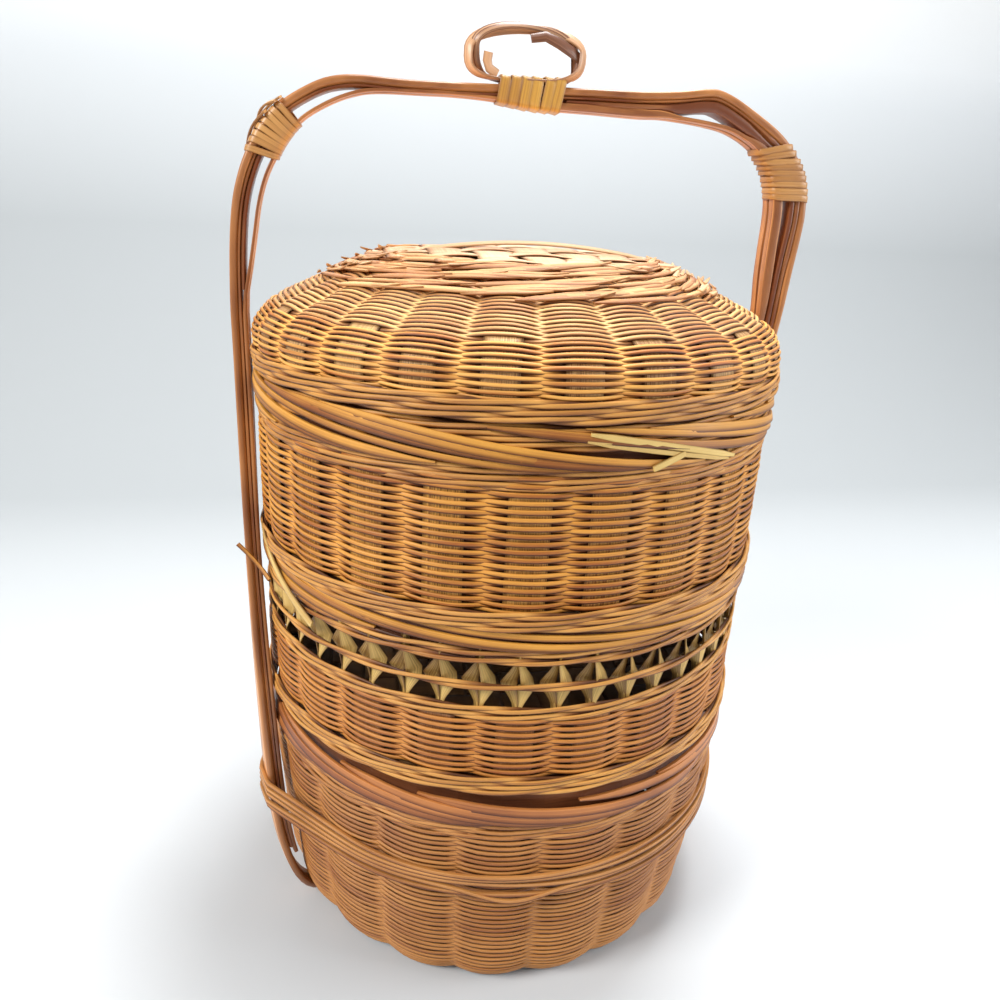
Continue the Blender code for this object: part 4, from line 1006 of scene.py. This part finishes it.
def dress_ring():
    """Ring of flat cane: two turns that cross, and their two cut ends."""
    strands = Strands()
    middle = 400.6 * MM
    for second in (0, 1):
        def at(share):
            turn = TAU * share + math.pi * 1.5
            cosine, sine = math.cos(turn), math.sin(turn)
            power, rise = (2.2, 9.3 * MM) if sine > 0.0 else (3.4, 11.2 * MM)
            loose = 1.0 + (0.05 - 0.11 * second) * math.sin(2.0 * turn + 0.9) - 0.03 * second
            x = 23.5 * MM * loose * math.copysign(abs(cosine) ** (2.0 / power), cosine)
            z = rise * loose * math.copysign(abs(sine) ** (2.0 / power), sine)
            y = (2.4 * math.sin(turn + 2.6 * second) + (share + second - 1.0) * 1.5 - 0.6) * MM
            place = Vector((RING_X + x, y, max(HANDLE_TOP + 0.7 * MM + 0.7 * MM * second, middle + z)))
            low = max(0.0, -sine) ** 2
            face = 0.25 + 0.75 * (0.5 + 0.5 * math.sin(2.0 * turn + 1.2 + 2.2 * second)) + 1.6 * low
            radial = Vector((x, 0.0, 1.6 * z)).normalized() * face
            way = (radial + Vector((0.0, -max(0.0, 1.0 - 1.1 * low), 0.0))).normalized()
            return place, way, (4.4 - 0.5 * second + 0.4 * math.sin(2.3 * turn)) * MM

        strands.trace(46, at, 0.9 * MM, 0.75 - 0.6 * second)
    tail = spots(((22.4, -0.6, 399.0), (17.6, -2.6, 401.6), (11.4, -3.6, 404.4), (5.4, -4.0, 406.4),
                  (-0.8, -4.2, 405.2)))
    widths = [wide * MM for wide in (4.2, 4.8, 4.8, 4.2, 3.4)]
    strands.add(tail, Vector((0.2, -1.0, 0.35)).normalized(), widths, 1.0 * MM, -0.2)
    stub = spots(((-14.0, -2.0, 391.6), (-17.6, -2.8, 393.6), (-18.6, -3.2, 396.4), (-18.2, -3.2, 399.4)))
    strands.add(stub, Vector((0.1, -1.0, 0.2)).normalized(), 3.9 * MM, 1.0 * MM, 1.4)
    strands.seat("ring", RING_CANE, "frame_and_base", "binding_cane", "hanging_ring")


# Middle tray

MIDDLE_WALL = [(115.2, 124.8), (115.9, 128.0), (116.2, 133.0), (116.2, 146.0), (116.0, 153.0)]


def open_splint_mesh():
    """Two splints of one diamond of the openwork, folded over each other at the necks, about their middle."""
    strands = Strands()
    low, high = 153.0 * MM, 184.5 * MM
    necks = (158.0 * MM, 177.6 * MM)
    for side in (-1.0, 1.0):
        def at(part):
            height = mix(low, high, part)
            share = min(1.0, max(0.0, (height - necks[0]) / (necks[1] - necks[0])))
            spread = (1.0 - abs(2.0 * share - 1.0)) ** 1.25
            fold = (0.75 if share > 0.5 else -0.75) * (1.0 - 0.5 * spread) + side * 0.35
            place = Vector((side * (0.45 - 0.2 * spread) * MM - 0.8 * MM * spread,
                            side * (0.5 + 3.4 * spread) * MM, height))
            way = Vector((1.0, fold, 0.25 * (share - 0.5))).normalized()
            return place, way, (3.0 + 4.4 * spread) * MM

        strands.trace(16, at, 0.55 * MM, 0.5 + 0.4 * side)
    piece = strands.build("open_splint_unit", OPEN_SPLINT)
    mesh = piece.data
    bpy.data.objects.remove(piece)
    return mesh


def dress_middle_tray():
    seat(weave("middle_weavers", MIDDLE_WALL, 24, MIDDLE_CANE, 21, width=2.15 * MM, pitch=1.5 * MM),
         "middle_tray", "woven_cane", "middle_wall")
    seat(stakes("middle_stakes", [(115.6, 118.4)] + MIDDLE_WALL, 24, 15.0 * MM, BASE_STAKE, 22),
         "middle_tray", "woven_cane")
    skirt("middle", "middle_tray", 118.2, 23)
    seat(grow("openwork_splints", ROUND, open_splint_mesh(), count=48, radius=115.4 * MM, twist=0.16,
              shift=0.008, lift=0.0005, seed=24, material=OPEN_SPLINT),
         "middle_tray", "pale_splint", "middle_openwork")
    seat(twine("openwork_lower", [(116.9, 152.4), (116.9, 158.7)], 2, 11, TWINE_CANE, 25),
         "middle_tray", "woven_cane", "openwork_lower_twine")
    seat(twine("openwork_middle", [(117.3, 165.4), (117.3, 170.2)], 1, 9, TWINE_CANE, 26, rise=0.9 * MM,
               depth=0.6 * MM), "middle_tray", "woven_cane", "openwork_middle_twine")
    seat(twine("openwork_upper", [(116.9, 177.0), (116.9, 184.2)], 2, 10, TWINE_CANE, 27),
         "middle_tray", "woven_cane", "openwork_upper_twine")
    rim_bundle("middle_rim", "middle_tray", (182.6, 193.2), 13, 84.0, 3.0, 6, RIM_SPLINT,
               ("middle_rim_splint_1", "middle_rim_splint_2"), radii=(116.2, 118.4))
    floor_plait("middle", "middle_tray", 15.8, 111.6, 123.5, 28)


# Top tray

TOP_WALL = [(115.2, 199.4), (115.9, 202.6), (116.2, 208.0), (116.2, 240.0), (115.6, 253.0)]


def dress_top_tray():
    seat(weave("top_weavers", TOP_WALL, 24, TOP_CANE, 31, width=2.1 * MM),
         "top_tray", "woven_cane", "top_wall")
    seat(stakes("top_stakes", [(115.6, 192.9)] + TOP_WALL + [(115.3, 258.0)], 24, 15.6 * MM, TOP_STAKE, 32,
                swell=0.7 * MM), "top_tray", "pale_splint")
    skirt("top", "top_tray", 192.7, 33)
    seat(twine("top_rim_twine", [(116.8, 247.6), (116.9, 256.0)], 3, 8, TWINE_CANE, 34),
         "top_tray", "woven_cane")
    seat(twine("top_collar_twine", [(117.0, 262.4), (116.6, 271.0)], 3, 9, TWINE_CANE, 36, rise=0.9 * MM),
         "top_tray", "rim_splint")
    rim_bundle("top_rim", "top_tray", (254.0, 271.6), 19, 80.0, 3.2, 5, RIM_SPLINT,
               ("top_rim_splint_1", "top_rim_splint_2"), radii=(117.5, 118.9))
    floor_plait("top", "top_tray", 15.8, 111.6, 198.0, 35)


# Lid

LID_WALL = [(115.6, 278.4), (116.4, 281.0), (116.9, 285.0), (115.9, 289.6), (113.2, 293.4), (109.0, 296.8)]
LID_DOME = [(108.3, 297.2), (104.5, 299.5), (91.6, 305.6), (77.0, 311.6), (64.0, 316.6)]


def dress_lid():
    seat(weave("lid_weavers", LID_WALL, 26, LID_CANE, 41, width=1.75 * MM, pitch=1.14 * MM),
         "lid", "woven_cane", "lid_wall")
    seat(weave("dome_weavers", LID_DOME, 26, DOME_CANE, 42, width=2.15 * MM, pitch=1.27 * MM, depth=0.75 * MM,
               thickness=0.9 * MM), "lid", "woven_cane", "lid_dome")
    seat(stakes("lid_stakes", [(115.4, 272.2)] + LID_WALL + LID_DOME[1:], 26, 13.4 * MM, LID_STAKE, 43,
                swell=0.75 * MM), "lid", "pale_splint")
    skirt("lid", "lid", 272.1, 44)
    layers = [f"crown_{layer}_splint_{index}" for layer in ("lower", "upper") for index in range(1, 8)]
    seat(plait("crown_plait", count=7, pitch=17.7 * MM, radius=66.0 * MM, height=318.8 * MM,
               material=CROWN_SPLINT, seed=45, width=16.8 * MM, depth=0.5 * MM, dome=4.2 * MM),
         "lid", "pale_splint", *layers)
    dress_dome_ends()
    dress_crown_ends()


def dome_top(radius):
    """Height of the top of the dome's weave at a distance from the middle, both in millimetres."""
    weave_top = 2.2
    for (outer, low), (inner, high) in zip(LID_DOME, LID_DOME[1:]):
        if radius >= inner:
            return mix(high, low, (radius - inner) / (outer - inner)) + weave_top
    return LID_DOME[-1][1] + weave_top


def dress_dome_ends():
    """Wide flat weavers of the dome's upper rows, whose pointed ends stand up over the weave."""
    dice = random.Random(46)
    strands = Strands()
    count = 150
    for index in range(count):
        level = index / count
        radius = mix(89.0, 63.5, level)
        start = math.radians(index * 97.0 + dice.uniform(-18.0, 18.0))
        long = math.radians(dice.uniform(24.0, 40.0)) * 75.0 / radius
        lift, inward = dice.uniform(0.2, 1.6), dice.uniform(1.0, 6.0)
        wide = dice.uniform(2.0, 3.3)
        way = Vector((0.45 * math.cos(start), 0.45 * math.sin(start), 1.0)).normalized()

        def at(share):
            reach = radius + inward * (0.5 - share)
            height = dome_top(reach) + 0.1 + 0.8 * level + 0.7 * math.sin(math.pi * share)
            height += lift * max(0.0, share - 0.75) / 0.25
            width = wide * MM * min(1.0, 0.25 + 4.0 * share, 0.2 + 3.0 * (1.0 - share))
            return polar(reach * MM, start + long * share, height * MM), way, width

        strands.trace(10, at, 0.65 * MM, dice.random())
    strands.seat("dome_ends", END_CANE, "lid", "woven_cane")


def dress_crown_ends():
    """Splint that bows up over the crown, and frayed ends at both sides of it."""
    dice = random.Random(47)
    strands = Strands()
    arch = spots((mix(-46.0, 54.0, step / 16), -6.0 - 8.0 * step / 16,
                  320.6 + 5.0 * math.sin(math.pi * step / 16) ** 0.8) for step in range(17))
    strands.add(arch, Vector((0.0, -0.25, 1.0)).normalized(), 4.6 * MM, 0.8 * MM, 0.7)
    for low, high, number in ((160.0, 204.0, 20), (-44.0, -4.0, 22)):
        for _ in range(number):
            angle, turn = math.radians(dice.uniform(low, high)), dice.uniform(-0.3, 0.3)
            radius, long = dice.uniform(58.0, 90.0), dice.uniform(6.0, 12.0)
            lift, wide = dice.uniform(0.4, 2.0), dice.uniform(1.8, 3.0)
            root = polar(radius * MM, angle, (dome_top(radius) + 1.5) * MM)
            way = Vector((0.3 * math.cos(angle), -0.2, 1.0)).normalized()

            def at(share):
                reach = polar(long * share * MM, angle + turn + math.pi / 2.0, lift * share ** 1.1 * MM)
                return root + reach, way, wide * MM * (1.0 - 0.75 * share ** 2)

            strands.trace(6, at, 0.5 * MM, dice.random())
    strands.seat("crown_ends", FRAYED_CANE, "lid", "pale_splint")


# Loose ends

def dress_loose_ends():
    """Broken and cut splints that hang out of the rims on the front."""
    strands = Strands()
    run_round(strands, -88.5, -56.0, (269.0, 255.2), (119.6, 119.6), 2.5, 0.8, 0.9, sag=-0.8, taper=0.5)
    run_round(strands, -89.0, -57.5, (266.4, 254.4), (119.6, 119.2), 1.9, 0.8, 0.5, sag=-0.4, taper=0.4)
    run_round(strands, -76.5, -70.0, (255.6, 260.0), (120.0, 119.6), 2.6, 0.9, 0.75, taper=0.9)
    strands.seat("broken_splint", CUT_CANE, "top_tray", "rim_splint")
    strands = Strands()
    run_round(strands, -169.0, -141.5, (199.6, 175.4), (119.5, 119.8), 4.2, 0.9, 0.6, taper=0.9)
    strands.seat("hanging_end", CUT_CANE, "middle_tray", "rim_splint")
    strands = Strands()
    stray = spots(((-128.6, -24.6, 190.6), (-125.4, -25.2, 187.2), (-121.6, -26.8, 183.4),
                   (-117.8, -29.6, 179.6), (-114.4, -34.2, 176.6)))
    strands.add(stray, Vector((-0.3, -1.0, 0.3)).normalized(), 1.9 * MM, 1.1 * MM, 0.5)
    strands.seat("stray_cane", RIM_SPLINT, "middle_tray", "rim_splint")


# Carried-over pieces

def finish_cad_pieces():
    """Hoops whose CAD shape stays, with a finish of their own."""
    for name in ("bottom_collar", "middle_collar", "top_collar", "lid_ledge"):
        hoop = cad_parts[name]
        for slot in hoop.material_slots:
            slot.material = COLLAR_SPLINT


dress_bottom_tray()
dress_waist_band()
dress_strips()
dress_bindings()
dress_ring()
dress_middle_tray()
dress_top_tray()
dress_lid()
dress_loose_ends()
finish_cad_pieces()


# Camera, light and ground

CAMERA_PLACE = (-0.0764, -0.3593, 0.33715)
CAMERA_AXES = ((0.98638, -0.15880, 0.04292), (0.01599, 0.35223, 0.93578), (-0.16372, -0.92234, 0.34997))
SENSOR_WIDTH, FOCAL_LENGTH, SIDE_SHIFT = 36.0, 27.64, 0.02

LAMPS_LOOK_AT = Vector((0.0, 0.0, 0.2))
# Name, place, size, power and colour
LAMPS = (("key", (-1.4, -0.6, 1.3), 0.7, 28.0, (1.0, 0.98, 0.95)),
         ("fill", (1.5, -0.5, 0.8), 1.0, 17.0, (1.0, 0.99, 0.98)),
         ("top", (0.25, 0.3, 1.6), 0.6, 23.0, (1.0, 1.0, 1.0)))
SKY_COLOUR, SKY_STRENGTH = (0.92, 0.94, 0.96, 1.0), 0.34

FLOOR_FRONT, BEND_START, BEND_RADIUS, WALL_TOP, HALF_WIDTH = -4.0, 0.5, 0.6, 4.0, 5.0
BEND_STEPS = 12
# Colours of the paper: painted lighter high up the wall, as painted light where the lamps fall short, and
# darker over the bend far behind, as painted shade.
WALL_LOW, WALL_HIGH_PAINTED_LIGHT, WALL_FAR_PAINTED_SHADE = (0.68, 0.71, 0.735, 1.0), (0.86, 0.86, 0.85, 1.0), (0.41, 0.435, 0.45, 1.0)


def place_camera():
    data = bpy.data.cameras.new("camera")
    camera = show("camera", data)
    data.sensor_width = SENSOR_WIDTH
    data.lens = FOCAL_LENGTH
    data.shift_x = SIDE_SHIFT
    data.clip_start = 0.01
    pose = Matrix(CAMERA_AXES).transposed().to_4x4()
    pose.translation = Vector(CAMERA_PLACE)
    camera.matrix_world = pose
    bpy.context.scene.camera = camera


def make_backdrop():
    """Pale floor that curves up into a wall behind the basket."""
    line = [(FLOOR_FRONT, 0.0), (BEND_START, 0.0)]
    for step in range(1, BEND_STEPS + 1):
        turn = math.pi / 2.0 * step / BEND_STEPS
        line.append((BEND_START + BEND_RADIUS * math.sin(turn), BEND_RADIUS - BEND_RADIUS * math.cos(turn)))
    line.append((BEND_START + BEND_RADIUS, WALL_TOP))
    mesh = bpy.data.meshes.new("backdrop")
    corners = [(x, y, z) for y, z in line for x in (-HALF_WIDTH, HALF_WIDTH)]
    mesh.from_pydata(corners, [], [(2 * i, 2 * i + 1, 2 * i + 3, 2 * i + 2) for i in range(len(line) - 1)])
    mesh.shade_smooth()
    paper, tree, shader = open_material("pale_paper")
    place = put(tree, "ShaderNodeSeparateXYZ", {0: put(tree, "ShaderNodeTexCoord").outputs["Object"]}).outputs
    # far marks the painted shade over the bend behind; near grows lighter up the wall as painted light.
    far = times(tree, stretch(tree, place[1], 0.0, 0.55), stretch(tree, place[2], 0.62, 0.30))
    near = mix_colour(tree, stretch(tree, place[2], 0.55, 0.95), WALL_LOW, WALL_HIGH_PAINTED_LIGHT)
    plug(tree, shader, {"Base Color": mix_colour(tree, far, near, WALL_FAR_PAINTED_SHADE), "Roughness": 0.9})
    mesh.materials.append(paper)
    show("backdrop", mesh)


def light_studio():
    for name, place, size, power, colour in LAMPS:
        data = bpy.data.lights.new(name, "AREA")
        data.shape = "DISK"
        data.size = size
        data.energy = power
        data.color = colour
        lamp = show(name, data)
        lamp.visible_camera = False
        lamp.location = place
        lamp.rotation_euler = (LAMPS_LOOK_AT - Vector(place)).to_track_quat("-Z", "Y").to_euler()
    world = bpy.data.worlds.new("studio")
    world.use_nodes = True
    sky = world.node_tree
    plug(sky, sky.nodes["Background"], {"Color": SKY_COLOUR, "Strength": SKY_STRENGTH})
    bpy.context.scene.world = world
    bpy.context.scene.view_settings.view_transform = "Standard"


place_camera()
make_backdrop()
light_studio()
